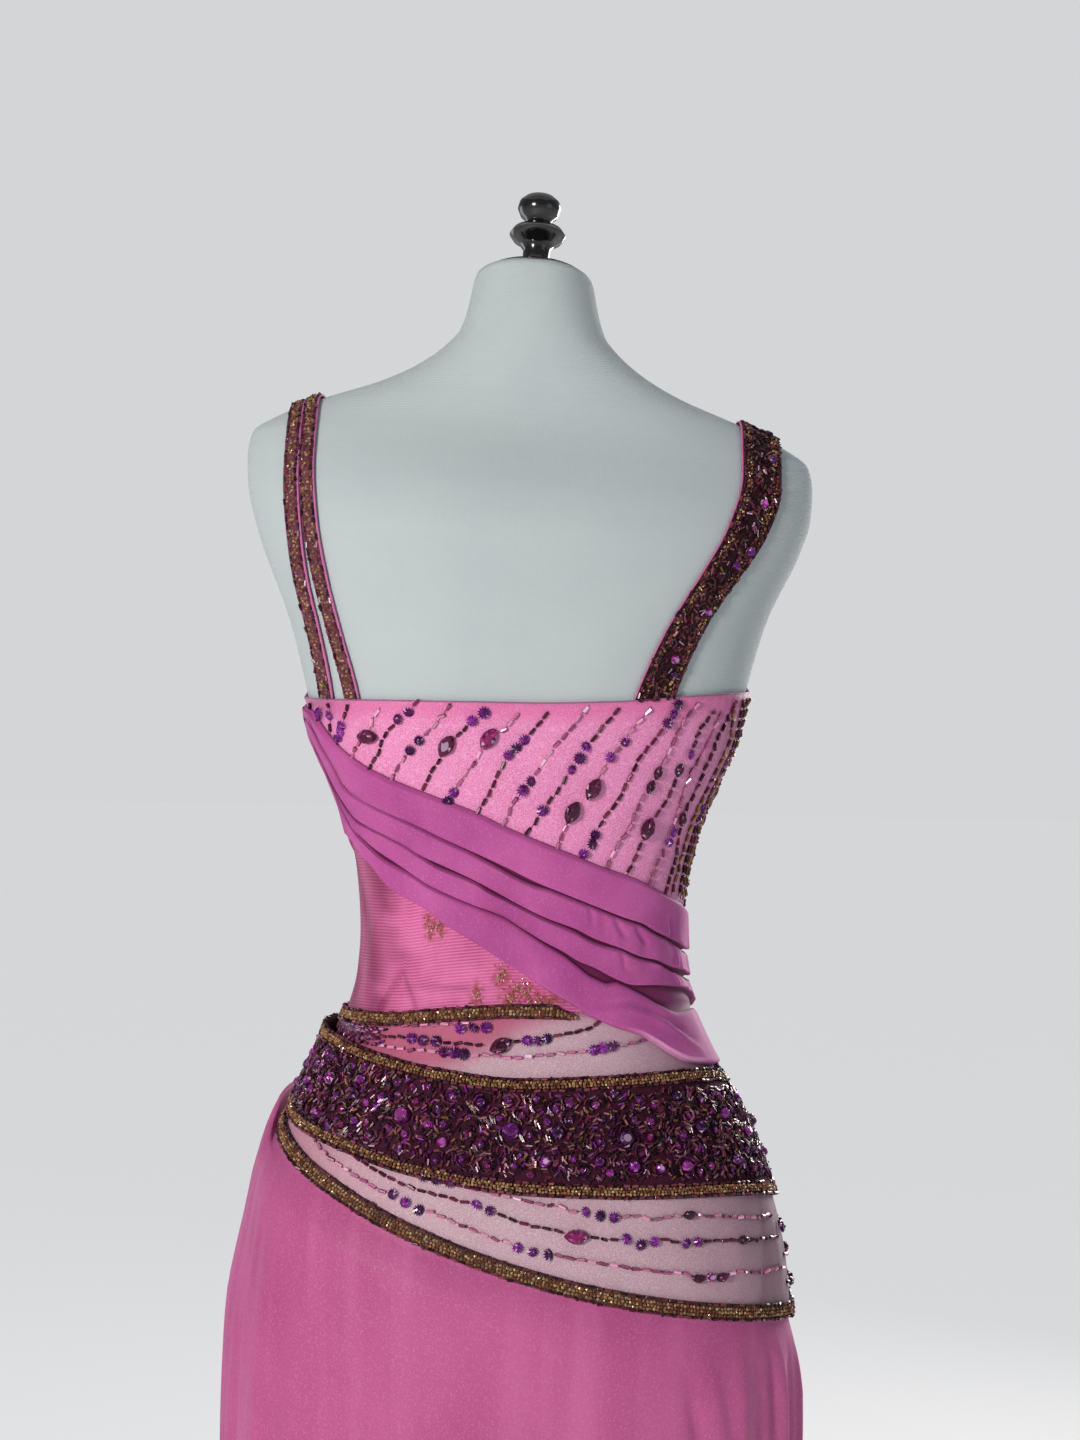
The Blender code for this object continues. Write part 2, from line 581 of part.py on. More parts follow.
def build_strap(name, column, width, across, finish_name, beads=0.0):
    """A shoulder strap from the back edge over the shoulder to the front edge."""
    # The stations stand closer together over the top of the shoulder
    even = np.linspace(0, 1, STRAP_STATIONS)
    share = even + STRAP_CROWDING * np.sin(2 * math.pi * even) / (2 * math.pi)
    middle = smooth_curve(STRAPS[:, 0], STRAPS[:, STRAP_COLUMNS.index(column)], share)
    x = middle[:, None] + np.linspace(-width / 2, width / 2, across)
    ends = []
    for row, side in ((0, "back"), (-1, "front")):
        ends.append(strap_angle(x[row], edge_height(x[row], side) + SEAM_GAP, side))
    start = np.where(ends[0] > math.pi, ends[0] - 2 * math.pi, ends[0])
    angle = start + (ends[1] - start) * share[:, None]
    surface = shoulder_point(x, angle)
    step = 0.001
    along = shoulder_point(x, angle + step) - shoulder_point(x, angle - step)
    sideways = shoulder_point(x + step, angle) - shoulder_point(x - step, angle)
    normal = unit(np.cross(along, sideways))
    out = np.full(x.shape, STRAP_OUTSIDE)
    out[1:-1:2, 1:-1] += beads
    out[:, 1:-1] += beads / 2
    outer = tilt_shoulders(surface + normal * out[..., None])
    inner = tilt_shoulders(surface + normal * STRAP_INSIDE)
    wall(name, outer, inner, finish_name)


def main():
    for old in list(bpy.data.objects):
        bpy.data.objects.remove(old)
    build_form()
    half_seam = SEAM_GAP / 2
    for side, bodice_rows in (("back", 10), ("front", 13)):
        panel("bodice_" + side, side, "top_edge", "sash_top", bodice_rows, "bodice_satin",
              above_bottom=-SASH_OVERLAP)
        panel("waist_" + side, side, "sash_bottom", "waist_seam", 9, "waist_mesh",
              above_top=SASH_OVERLAP, above_bottom=half_seam)
        panel("yoke_" + side, side, "waist_seam", "skirt_seam", 10, "net", -half_seam, half_seam)
        build_sash(side)
        build_belt(side)
        build_skirt(side)
        build_band("band_low_" + side, side, "skirt_seam", LOW_BAND)
    build_band("band_top_back", "back", "waist_seam", NARROW_BAND, 0.0, NARROW_BAND_END)
    build_band("band_top_front", "front", "waist_seam", NARROW_BAND, NARROW_BAND_FRONT - 180.0, 180.0)
    build_strap("strap_left_outer", "left_outer", SLIM_STRAP, 3, "beading", 0.0010)
    build_strap("strap_left_inner", "left_inner", SLIM_STRAP, 3, "beading", 0.0010)
    build_strap("strap_right", "right", WIDE_STRAP, 5, "dark_beading", 0.0018)


main()
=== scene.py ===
"""Looks of the mermaid evening dress on its dress form.

The part is in metres, +Z up. The garment's front faces -Y and its left side is at +X. An angle
round the body starts at the left side seam and runs by the back (90 degrees) and the right side
seam (180) to the front (270). The tables give angles in degrees and lengths in millimetres.
"""
import math

import bmesh
import bpy
import numpy as np
from mathutils import Matrix, Vector


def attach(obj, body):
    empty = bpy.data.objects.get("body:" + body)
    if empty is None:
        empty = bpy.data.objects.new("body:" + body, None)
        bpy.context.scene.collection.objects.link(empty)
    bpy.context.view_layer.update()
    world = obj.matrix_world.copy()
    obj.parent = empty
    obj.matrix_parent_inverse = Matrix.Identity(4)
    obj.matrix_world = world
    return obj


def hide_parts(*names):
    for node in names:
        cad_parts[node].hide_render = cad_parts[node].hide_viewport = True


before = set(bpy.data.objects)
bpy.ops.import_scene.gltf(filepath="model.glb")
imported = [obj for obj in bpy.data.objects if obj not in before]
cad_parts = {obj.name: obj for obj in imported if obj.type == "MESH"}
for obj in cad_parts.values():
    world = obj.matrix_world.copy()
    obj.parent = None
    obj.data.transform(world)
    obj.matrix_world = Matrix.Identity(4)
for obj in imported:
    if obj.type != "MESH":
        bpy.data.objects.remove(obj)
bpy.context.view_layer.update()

# The padded torso. A real one is a moulded shell with a thin padding, under a tight cover of pale
# grey-green linen that is stretched smooth and cut off level at the neck.
BODY = np.array([
    # height, half width, front, back
    (735, 163, 90, 98), (765, 177, 97, 110), (800, 181, 101, 119), (835, 178, 103, 123),
    (868, 171, 103, 121), (900, 160, 101, 114), (933, 145, 97, 104), (967, 124, 91, 93),
    (1000, 110, 86, 85), (1020, 105, 84, 82), (1045, 103, 84, 81), (1085, 106.5, 87, 84),
    (1125, 115.5, 92, 89), (1152, 126.5, 96, 93), (1179, 138.5, 99, 96), (1200, 143.5, 100, 98),
    (1254, 158, 100, 100), (1307, 180, 88, 94), (1333, 187, 76, 84), (1352, 188, 62, 71),
    (1368, 185, 50, 58), (1380, 168, 42, 50), (1392, 142, 36, 45), (1408, 99, 33, 42), (1420, 76, 36, 42),
    (1432, 60, 40, 43), (1445, 48.5, 43, 45), (1460, 43.5, 43, 46), (1475, 40.5, 42, 45),
    (1495, 37, 40, 43),
]) / 1000
BODY_POWER = 2.35
NECK_HEIGHT, NECK_SLOPE = 1.478, 0.23
BUST_HEIGHT, BUST_APART, BUST_REACH, BUST_TALL_REACH, BUST_DEPTH = 1.215, 0.140, 0.055, 0.063, 0.020
SHOULDER_TILT, TILT_START, TILT_END = 0.045, 1.25, 1.35
TORSO_FOOT, TORSO_ROUNDED = 0.735, 1.29


def smooth_curve(places, values, at):
    """Cubic through the values that never overshoots: each slope is the weighted harmonic mean of the
    two beside it."""
    places, values = np.asarray(places, float), np.asarray(values, float)
    step, rise = np.diff(places), np.diff(values)
    slope = rise / step
    before, after = slope[:-1], slope[1:]
    weight_a, weight_b = 2 * step[1:] + step[:-1], step[1:] + 2 * step[:-1]
    same_way = before * after > 0
    safe_before, safe_after = np.where(same_way, before, 1.0), np.where(same_way, after, 1.0)
    mean = (weight_a + weight_b) / (weight_a / safe_before + weight_b / safe_after)
    tangent = np.concatenate(([slope[0]], np.where(same_way, mean, 0.0), [slope[-1]]))
    index = np.clip(np.searchsorted(places, at) - 1, 0, len(step) - 1)
    part = np.clip((at - places[index]) / step[index], 0.0, 1.0)
    ease = part * part * (3 - 2 * part)
    pull = part * (1 - part) ** 2 * tangent[index] - part * part * (1 - part) * tangent[index + 1]
    return values[index] + ease * rise[index] + pull * step[index]


def ease_in(value, start, end):
    """0 before start, 1 after end, and 3t2 - 2t3 between them."""
    part = np.clip((value - start) / (end - start), 0.0, 1.0)
    return part * part * (3 - 2 * part)


def unit(vectors):
    """Vectors divided by their length."""
    return vectors / np.maximum(np.linalg.norm(vectors, axis=-1, keepdims=True), 1e-12)


def read_table(table, at, *columns):
    """Values of a table's columns at a place, on smooth curves through its rows."""
    return (smooth_curve(table[:, 0], table[:, k], at) for k in columns)


def bell(value, width):
    """Bell curve: the exponential of minus the square of value over width."""
    return np.exp(-(value / width) ** 2)


def bust(x, height):
    """Two soft mounds, each a bell curve across times a bell curve up."""
    across = sum(bell(x - s * BUST_APART / 2, BUST_REACH) for s in (-1, 1))
    return BUST_DEPTH * across * bell(height - BUST_HEIGHT, BUST_TALL_REACH)


def outline(theta, power):
    """Superellipse of size one: cosine and sine over (|cos|^p + |sin|^p)^(1/p)."""
    cosine, sine = np.cos(theta), np.sin(theta)
    reach = (np.abs(cosine) ** power + np.abs(sine) ** power) ** (-1 / power)
    return cosine * reach, sine * reach


def body_point(theta, height):
    """Point of the form: the outline times the half widths that the table gives at that height."""
    unit_x, unit_y = outline(theta, BODY_POWER)
    half, front, back = read_table(BODY, height, 1, 2, 3)
    x = half * unit_x
    front = front + bust(x, height)
    return np.stack(np.broadcast_arrays(x, np.where(unit_y < 0, front, back) * unit_y, height), -1)


def body_normal(theta, height):
    """Outward direction: the cross product of the steps round and up the form."""
    along = body_point(theta + 0.002, height) - body_point(theta - 0.002, height)
    return unit(np.cross(along, body_point(theta, height + 0.001) - body_point(theta, height - 0.001)))


def tilt_shoulders(points):
    """Raises the left shoulder: height grows by the place across times the tilt, above the bust."""
    points = np.array(points, float)
    points[..., 2] += SHOULDER_TILT * points[..., 0] * ease_in(points[..., 2], TILT_START, TILT_END)
    return points


def body_surface(theta, height, out):
    """Point of the form moved out along its outward direction, then tilted with the shoulders."""
    theta, height, out = np.broadcast_arrays(theta, height, out)
    return tilt_shoulders(body_point(theta, height) + body_normal(theta, height) * out[..., None])


def new_object(name, data):
    """Adds an object with its mesh, lamp or camera to the scene."""
    made = bpy.data.objects.new(name, data)
    bpy.context.scene.collection.objects.link(made)
    return made


def grid_piece(name, points, uv, closed=False, merge=False):
    """Mesh through a grid of points, rows down and columns round, faces out, with uv in metres of cloth."""
    rows, columns = points.shape[:2]
    kept = columns - 1 if closed else columns
    index = np.arange(rows * kept).reshape(rows, kept)
    index = np.concatenate((index, index[:, :1]), 1) if closed else index
    quads = np.stack((index[:-1, :-1], index[1:, :-1], index[1:, 1:], index[:-1, 1:]), -1).reshape(-1, 4)
    mesh = bpy.data.meshes.new(name)
    mesh.from_pydata(points[:, :kept].reshape(-1, 3).tolist(), [], quads.tolist())
    corners = np.stack((uv[:-1, :-1], uv[1:, :-1], uv[1:, 1:], uv[:-1, 1:]), 2)
    mesh.uv_layers.new(name="cut").data.foreach_set("uv", corners.astype(np.float32).ravel())
    if merge:
        edit = bmesh.new()
        edit.from_mesh(mesh)
        bmesh.ops.remove_doubles(edit, verts=edit.verts, dist=1e-6)
        edit.to_mesh(mesh)
        edit.free()
    mesh.shade_smooth()
    return new_object(name, mesh)


def paint(piece, attribute, values):
    """Stores one number for each point of a piece's mesh."""
    layer = piece.data.attributes.new(attribute, "FLOAT", "POINT")
    layer.data.foreach_set("value", np.asarray(values, np.float32).ravel())


def thicken(piece, thickness):
    """Gives a cloth its thickness, inwards from the modelled face."""
    wall = piece.modifiers.new("thickness", "SOLIDIFY")
    wall.thickness, wall.offset = thickness, -1.0


def dress(piece, material, slot, *nodes):
    """Finishes a piece: its material, the body it rides on and the nodes it stands for. The slot is not
    used.
    """
    piece.data.materials.append(material)
    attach(piece, "root")
    if nodes:
        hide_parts(*nodes)
    return piece


def feed(tree, node, into):
    """Fills a node's inputs with numbers or joins them to outputs."""
    for socket, value in into.items():
        if isinstance(value, bpy.types.NodeSocket):
            tree.links.new(value, node.inputs[socket])
        else:
            node.inputs[socket].default_value = value


def add_node(tree, kind, into=None, **options):
    """Adds a shader node, sets its options and feeds its inputs."""
    made = tree.nodes.new("ShaderNode" + kind)
    for option, value in options.items():
        setattr(made, option, value)
    feed(tree, made, into or {})
    return made


def colour(code):
    """sRGB hex code as linear red, green, blue and alpha."""
    parts = np.array([int(code[i:i + 2], 16) for i in (1, 3, 5)]) / 255
    linear = np.where(parts <= 0.04045, parts / 12.92, ((parts + 0.055) / 1.055) ** 2.4)
    return (*linear.tolist(), 1.0)


def new_finish(name, code, roughness, **sockets):
    """A Principled material with its colour, roughness and other constants on the shader's own sockets."""
    material = bpy.data.materials.new(name)
    material.use_nodes = True
    tree = material.node_tree
    shader = tree.nodes["Principled BSDF"]
    feed(tree, shader, {"Base Color": colour(code), "Roughness": roughness})
    feed(tree, shader, {socket.replace("_", " "): value for socket, value in sockets.items()})
    return material, tree, shader


def lay_finish(tree, shader, first, layers, relief=()):
    """Feeds a shader its colour and relief. Each layer is a factor output and the colour it lays over
    what came before. The relief is a height output, its depth in metres and its strength."""
    tone = colour(first) if isinstance(first, str) else first
    for factor, over in layers:
        over = colour(over) if isinstance(over, str) else over
        tone = add_node(tree, "Mix", {0: factor, 6: tone, 7: over}, data_type="RGBA").outputs[2]
    feed(tree, shader, {"Base Color": tone})
    if relief:
        raised = add_node(tree, "Bump", dict(zip(("Height", "Distance", "Strength"), relief)))
        feed(tree, shader, {"Normal": raised.outputs["Normal"]})


def threads(period):
    """Wave scale for a thread spacing in metres: the wave repeats every 2 pi / 20 / scale."""
    return 2 * math.pi / 20 / period


# Linen: matt pale threads about 0.8 mm apart, drawn 1.2 mm apart so that they show
linen, tree, shader = new_finish("pale_linen", "#BAC6C8", 0.86, Sheen_Weight=0.12, Sheen_Roughness=0.5)
cut = add_node(tree, "UVMap", uv_map="cut").outputs[0]
warp, weft = (add_node(tree, "TexWave", {
    "Vector": cut, "Scale": threads(0.0012), "Distortion": 0.6, "Detail": 2.0, "Detail Scale": 3.0,
}, bands_direction=way).outputs["Fac"] for way in "XY")
weave = add_node(tree, "Math", {0: warp, 1: weft}, operation="ADD").outputs[0]
patches = add_node(tree, "TexNoise", {"Vector": cut, "Scale": 14.0, "Detail": 3.0}).outputs["Fac"]
lay_finish(tree, shader, "#B4C1C4", [(patches, "#C3CDCE")], (weave, 0.00012, 0.6))

theta = np.linspace(0, 2 * math.pi, 145)
neck = np.full(theta.shape, NECK_HEIGHT)
for _ in range(6):
    neck = NECK_HEIGHT + NECK_SLOPE * body_point(theta, neck)[:, 1]
share = np.linspace(0, 1, 45)[:, None]
levels = np.concatenate((
    TORSO_ROUNDED + (neck - TORSO_ROUNDED) * np.linspace(1, 0, 60)[:, None],
    TORSO_FOOT + (TORSO_ROUNDED - TORSO_FOOT) * (1 - share[1:]) + 0 * theta))
torso = tilt_shoulders(body_point(theta + 0 * levels, levels))
neck_middle = np.array((0, 0, NECK_HEIGHT))
cap = [neck_middle + (torso[0] - neck_middle) * s for s in (0.0, 0.3, 0.6, 0.85, 0.95)]
foot = [(torso[-1] * (s, s, 1)) for s in (0.97, 0.6, 0.3, 0.0)]
torso = np.concatenate((cap, [torso[0] * (0.985, 0.985, 1)], torso[1:], foot))
across = theta * 0.14 + 0 * torso[..., 0]
torso = grid_piece("torso_linen", torso, np.stack((across, torso[..., 2]), -1), closed=True, merge=True)
dress(torso, linen, "linen", "form_torso")


# The neck finial, pole and base. The finial is turned wood and the stand is steel, all in a deep
# gloss black lacquer that shows little but the lights.
FINIAL_PROFILE = np.array([
    # radius, height above the neck
    (0, 0), (35, 0), (36.2, 1.5), (36, 3), (33, 6.6), (24, 8.5), (14, 10), (10, 13), (9, 18), (9, 25),
    (12, 29.5), (16.5, 32.5), (18.8, 36), (16.5, 39.5), (11, 42), (8.4, 45), (9.5, 47.5), (12.5, 50),
    (14.5, 55), (13.5, 59.5), (10, 62.8), (5, 64.2), (0, 64.5),
]) / 1000
POLE_RADIUS, POLE_FOOT, POLE_TOP = 0.014, 0.0403, 0.7347
BASE_PROFILE = np.array([
    # radius, height
    (0, 0), (167, 0), (169, 0.6), (170, 2.5), (170, 9), (169, 11.2), (166.5, 12), (60, 13.5), (34, 15),
    (30.5, 18), (30, 38.5), (28.5, 40), (14.5, 40), (0, 40),
]) / 1000


def lengths(path):
    """Length from the start of a path to each of its points."""
    return np.concatenate(([0], np.cumsum(np.linalg.norm(np.diff(path, axis=0), axis=1))))


def turned_piece(name, profile, sides, place=Matrix.Identity(4)):
    """Profile of radius and height, top row first, carried round the axis, then placed by a matrix."""
    turn = np.linspace(0, 2 * math.pi, sides + 1)
    radius, height = profile[::-1, :1], profile[::-1, 1:]
    points = np.stack(np.broadcast_arrays(radius * np.cos(turn), radius * np.sin(turn), height), -1)
    place = np.array(place)
    points = points @ place[:3, :3].T + place[:3, 3]
    down = lengths(profile[::-1])[:, None]
    uv = np.stack(np.broadcast_arrays(turn * profile[:, 0].max(), -down), -1)
    piece = grid_piece(name, points, uv, closed=True, merge=True)
    piece.data.set_sharp_from_angle(angle=math.radians(50))
    return piece


# Polished lacquer: near black, with a clear coat over a very slight orange peel
lacquer, tree, shader = new_finish("black_lacquer", "#0B0B0C", 0.18, Coat_Weight=0.8, Coat_Roughness=0.05)
place = add_node(tree, "TexCoord").outputs["Object"]
peel = add_node(tree, "TexNoise", {"Vector": place, "Scale": 220.0, "Detail": 1.0}).outputs["Fac"]
lay_finish(tree, shader, "#0B0B0C", (), (peel, 0.00005, 0.3))

neck_axis = Vector((-SHOULDER_TILT, -NECK_SLOPE, 1)).normalized()
seat = Matrix.Translation(Vector((0, 0, NECK_HEIGHT)) + neck_axis * 0.0003)
leaning = seat @ neck_axis.to_track_quat("Z", "Y").to_matrix().to_4x4()
finial = turned_piece("neck_finial", FINIAL_PROFILE, 64, leaning)
dress(finial, lacquer, "lacquer", "form_neck_cap")
pole = turned_piece("stand_pole", np.array([
    (0.0, POLE_FOOT), (POLE_RADIUS - 0.0005, POLE_FOOT), (POLE_RADIUS, POLE_FOOT + 0.001),
    (POLE_RADIUS, POLE_TOP - 0.001), (POLE_RADIUS - 0.0005, POLE_TOP), (0.0, POLE_TOP)]), 48)
dress(pole, lacquer, "lacquer", "form_pole")
base = turned_piece("stand_base", BASE_PROFILE, 128)
dress(base, lacquer, "lacquer", "form_base")


# The bodice. Pink satin in fitted back and front panels, cut straight across the back, with a fine
# net laid over it and sewn in at the right side, where the net is gathered.

# Heights of all sewn lines, at every 22.5 degrees round the body
LINE_ANGLES = 22.5 * np.arange(16)
LINES = {
    "top_edge": (1203, 1201, 1200, 1200, 1200, 1202, 1207, 1210, 1212, 1222, 1245, 1262, 1254, 1262, 1243,
                 1215),
    "sash_top": (1174, 1163, 1146, 1132, 1112, 1094, 1079, 1070, 1064, 1062, 1066, 1076, 1092, 1112, 1134,
                 1156),
    "sash_bottom": (1096, 1090, 1076, 1054, 1024, 999, 981, 969, 961, 964, 973, 989, 1011, 1036, 1062, 1083),
    "waist_seam": (991, 993, 995, 1001, 1004.5, 1004, 989, 978, 971, 973, 981, 993, 997, 993, 990, 990),
    "belt_top": (982, 980, 975, 968, 963.5, 965, 966, 963, 957, 959, 964, 969, 974, 979, 982, 983),
    "belt_bottom": (932, 924, 915.5, 903, 894.5, 892, 890, 884, 876, 880, 888, 899, 912, 925, 936, 939),
    "skirt_seam": (924, 914, 896.5, 872, 849, 832, 820, 811, 804, 818, 840, 866, 892, 912, 926, 931),
}
CLOTH_OUT = 0.0025
CLOTH_THICK = 0.0013
SEAM_GAP, SEAM_DEPTH = 0.0003, 0.085
SASH_OVERLAP = 0.014
ROLL_HEIGHT, ROLL_WIDTH = 0.0006, 0.0012


def around(places, values, theta):
    """Metres at an angle, on a smooth closed curve through millimetres at places in degrees."""
    places = np.concatenate((places[-2:] - 360, places, places[:2] + 360))
    values = np.concatenate((values[-2:], values, values[:2]))
    return smooth_curve(places, values, np.degrees(theta) % 360) / 1000


def line_height(name, theta):
    """Height of a sewn line at an angle."""
    return around(LINE_ANGLES, LINES[name], theta)


def half_angles(side, columns):
    """Angles round one half, short of each side seam by half the gap over the body's depth there."""
    inset = SEAM_GAP / 2 / SEAM_DEPTH
    first = 0.0 if side == "back" else math.pi
    return first + inset + np.linspace(0, 1, columns) * (math.pi - 2 * inset)


def signed(degrees):
    """The same angle from -180 up to 180 degrees."""
    return (degrees + 180) % 360 - 180


def cloth_uv(points, from_foot=False):
    """Lengths in metres along each row from the middle column, and down each column from its top or up
    from its foot."""
    across = np.cumsum(np.linalg.norm(np.diff(points, axis=1, prepend=points[:, :1]), axis=2), axis=1)
    down = np.cumsum(np.linalg.norm(np.diff(points, axis=0, prepend=points[:1]), axis=2), axis=0)
    start = down[-1] if from_foot else 0
    return np.stack((across - across[:, points.shape[1] // 2, None], start - down), -1)


def half_cloth(name, side, theta, height, out, from_foot=False):
    """Piece and points of one half of a cloth over the form, its first and last columns just off the side
    seams."""
    points = body_surface(theta + 0 * height, height, out)
    points[:, (0, -1), 1] = SEAM_GAP / 2 if side == "back" else -SEAM_GAP / 2
    return grid_piece(name + side, points, cloth_uv(points, from_foot)), points


def waves(theta, height, table):
    """Sum of soft ridges: each is a bell across a slanting line, faded in and out along it. Columns: angle,
    height, lean in degrees a metre, half width in degrees, half length and depth in millimetres."""
    degrees = np.degrees(theta) % 360
    total = 0.0
    for angle, middle, lean, width, length, depth in np.array(table) / (1, 1000, 1, 1, 1000, 1000):
        off = signed(degrees - angle - lean * (height - middle))
        total = total + depth * bell(off, width) * bell(height - middle, length)
    return total


# Creases of the net and satin, gathered at the right side
BODICE_CREASES = (
    (158, 1150, 60, 1.3, 40, 1.8), (163, 1120, 40, 1.2, 45, -1.5), (167, 1160, 30, 1.2, 45, 2.1),
    (171, 1110, 20, 1.1, 50, 1.8), (175, 1150, 10, 1.2, 50, -1.2), (178, 1120, 5, 1.2, 50, 2.1),
    (183, 1150, 0, 1.3, 50, 1.8), (188, 1120, -10, 1.5, 55, 1.5), (148, 1130, 170, 2.2, 30, 1.4),
    (140, 1105, 210, 2.6, 24, -1), (120, 1130, 260, 4, 22, 0.9), (96, 1165, 300, 5, 20, 0.8),
    (62, 1180, 260, 4, 14, 0.9), (200, 1150, -20, 3, 50, 1.2), (232, 1140, -60, 4, 40, 1.2),
    (256, 1150, 20, 3.5, 40, 1), (284, 1160, -20, 3.5, 36, 1), (318, 1180, 60, 4, 28, 1),
)

# Satin under net: a soft broad sheen, with the net's 1.6 mm cells as pale threads, a deeper rose band along
# the top where the cloth is turned in and doubled, a painted shadow line at the very edge, and painted shade
# at the gathered right side
satin, tree, shader = new_finish("satin_under_net", "#DC74BC", 0.5, Sheen_Weight=0.2, Specular_IOR_Level=0.3)
cut = add_node(tree, "UVMap", uv_map="cut").outputs[0]
cells = add_node(tree, "TexVoronoi", {"Vector": cut, "Scale": 620.0},
                 feature="DISTANCE_TO_EDGE").outputs["Distance"]
net = add_node(tree, "MapRange", {"Value": cells, "From Min": 0.03, "From Max": 0.16, "To Min": 1.0,
                                  "To Max": 0.0}).outputs[0]
patches = add_node(tree, "TexNoise", {"Vector": cut, "Scale": 26.0, "Detail": 4.0,
                                      "Roughness": 0.6}).outputs["Fac"]
edge = add_node(tree, "Attribute", attribute_name="from_edge").outputs["Fac"]
turned_in = add_node(tree, "MapRange", {"Value": edge, "From Min": 0.006, "From Max": 0.016,
                                        "To Min": 0.55, "To Max": 0.0}).outputs[0]
gather_and_shade = add_node(tree, "Attribute", attribute_name="gathers_and_shade").outputs["Fac"]
# Painted shadow: a grey-purple line in the first millimetre below the top edge, where the cloth meets the
# form
edge_shadow = add_node(tree, "MapRange", {"Value": edge, "From Min": 0.0006, "From Max": 0.0012, "To Min": 0.8,
                                  "To Max": 0.0}).outputs[0]
lay_finish(tree, shader, "#D4629F", [(patches, "#EE90C6"), (net, "#F0A4D0"), (turned_in, "#DC5E9E"),
                                     (gather_and_shade, "#7C3660"), (edge_shadow, "#8E6A86")], (net, 0.00010, 0.7))

for side in ("back", "front"):
    theta = half_angles(side, 170)
    share = np.linspace(0, 1, 32 if side == "back" else 38)[:, None]
    high, low = line_height("top_edge", theta), line_height("sash_top", theta) - SASH_OVERLAP
    height = high + (low - high) * share
    depth_below = high - height
    rolled = ROLL_HEIGHT * bell(depth_below - ROLL_WIDTH, ROLL_WIDTH)
    bodice, points = half_cloth("bodice_satin_", side, theta, height,
                                CLOTH_OUT + waves(theta, height, BODICE_CREASES) + rolled)
    paint(bodice, "from_edge", depth_below)
    degrees = np.degrees(theta)
    # Painted shade at the right side, where the net is gathered and the body turns from the light; darker
    # also at the top of the left corner
    right_side_shade = bell(degrees - 172, 20) * (0.72 + 0.28 * np.sin(degrees * 1.7 + height * 90))
    left_corner = 0.5 * bell(degrees - 28, 12) * bell(depth_below, 0.012)
    paint(bodice, "gathers_and_shade", right_side_shade + left_corner)
    thicken(bodice, CLOTH_THICK)
    dress(bodice, satin, "bodice_satin", "bodice_" + side)
    width = float(lengths(points[0])[-1])


# The bead strands on the bodice. Glass tube beads are threaded on slanting strands, dark and light by
# turns, with groups of faceted sequins and pointed oval stones between them, all sewn on the net.
BEAD_OUT = 0.0036
STRANDS = (
    # tone, then way points as letter, angle and height. The letters: . bare, s sequin, n stone, m small
    # stone, h level stone, x start of a gap
    ("dark", ".43,1197 s39,1184 s38,1180 s36,1176 .32,1168"),
    ("light", ".53,1195 .50,1187 h48,1177 .42,1170 .38,1161"),
    ("dark", ".64,1201 s61,1193 s58,1188 .54,1179 .50,1167 .44,1155"),
    ("light", ".72,1199 .68,1186 s63,1175 s60,1169 .56,1161 .51,1148"),
    ("dark", "s80,1193 s77,1188 .75,1182 n70,1172 .68,1165 .65,1157 .61,1143"),
    ("light", ".89,1193 .85,1183 n81,1177 .77,1162 .72,1149 s70,1143 s68,1137"),
    ("dark", ".96,1195 .94,1187 s90,1177 s88,1172 s86,1167 .83,1154 .80,1142 .76,1129"),
    ("light", ".106,1199 .103,1188 .98,1172 .94,1158 s92,1151 s90,1145 .87,1135 .84,1121"),
    ("dark", ".114,1198 .110,1187 .108,1179 s106,1173 s105,1166 s103,1159 .101,1149 .99,1141 s96,1133 "
             ".94,1125 .91,1116"),
    ("light", ".122,1199 .117,1183 s116,1177 s113,1167 .112,1159 n110,1147 n105,1132 .103,1120 .101,1108"),
    ("dark", "s129,1201 s128,1195 s127,1189 .125,1182 .121,1166 .119,1147 .116,1132 .114,1124 s113,1118 "
             "s112,1112 s110,1106"),
    ("light", ".136,1203 .132,1191 .130,1177 m128,1158 m127,1149 .125,1139 .124,1124 .121,1112 .118,1096"),
    ("dark", ".143,1199 .138,1185 s137,1170 m135,1160 .135,1141 .133,1133 n130,1122 .129,1111 .126,1092"),
    ("light", ".146,1198 .143,1178 .141,1162 .141,1146 s142,1120 s141,1113 .138,1099 .135,1083"),
    ("dark", ".153,1202 .147,1181 .147,1147 m145,1128 .148,1100 .145,1078"),
    ("gold", ".152,1206 .156,1180 .155,1150 .153,1120 .152,1095 .150,1079"),
    ("dark", ".160,1206 .161,1183 .160,1150 s158,1135 s158,1128 .158,1105 .157,1078"),
    ("gold", ".165,1207 .166,1180 .163,1150 .165,1120 .162,1095 .161,1076"),
    ("gold", ".171,1208 .170,1185 .172,1150 .169,1120 .170,1095 .167,1075"),
    ("dark", ".176,1208 .177,1180 .174,1150 .176,1120 .173,1090 .174,1074"),
    ("dark", ".29,1198 s28,1191 .25,1183"),
    ("dark", ".34,1198 s34,1190 .32,1178"),
    ("dark", ".22,1198 .19,1193"),
)
TUBE_LONG, TUBE_WIDE, TUBE_PITCH, TUBE_STRAY = 0.0054, 0.0023, 0.0069, 0.0003
THREAD_STEP, THREAD_LONG, THREAD_WIDE, THREAD_BELOW = 0.004, 0.0043, 0.0005, 0.0007
PATH_STEPS = 40
SEQUIN_SIZE, STONE_LONG, STONE_WIDE, SMALL_STONE = 0.0082, 0.0158, 0.0098, 0.62
GLASS = {
    "dark": ("#340A1A", "#440E26", "#260612", "#561630"),
    "light": ("#8E4C6A", "#A46682", "#7A3C5A", "#B88098"),
    "gold": ("#6E4E24", "#866630", "#4E3218", "#5A2434"),
    "sequin": ("#541058", "#6A1878", "#380A44", "#7A2486"),
    "stone": ("#42102C", "#5A163E", "#300A22", "#6A1C4C"),
    "thread": ("#9A5080", "#8A4470"),
    "rim": ("#34101A", "#481824", "#220A10", "#5A2C30"),
}
beads_random = np.random.default_rng(7)
pool = {}


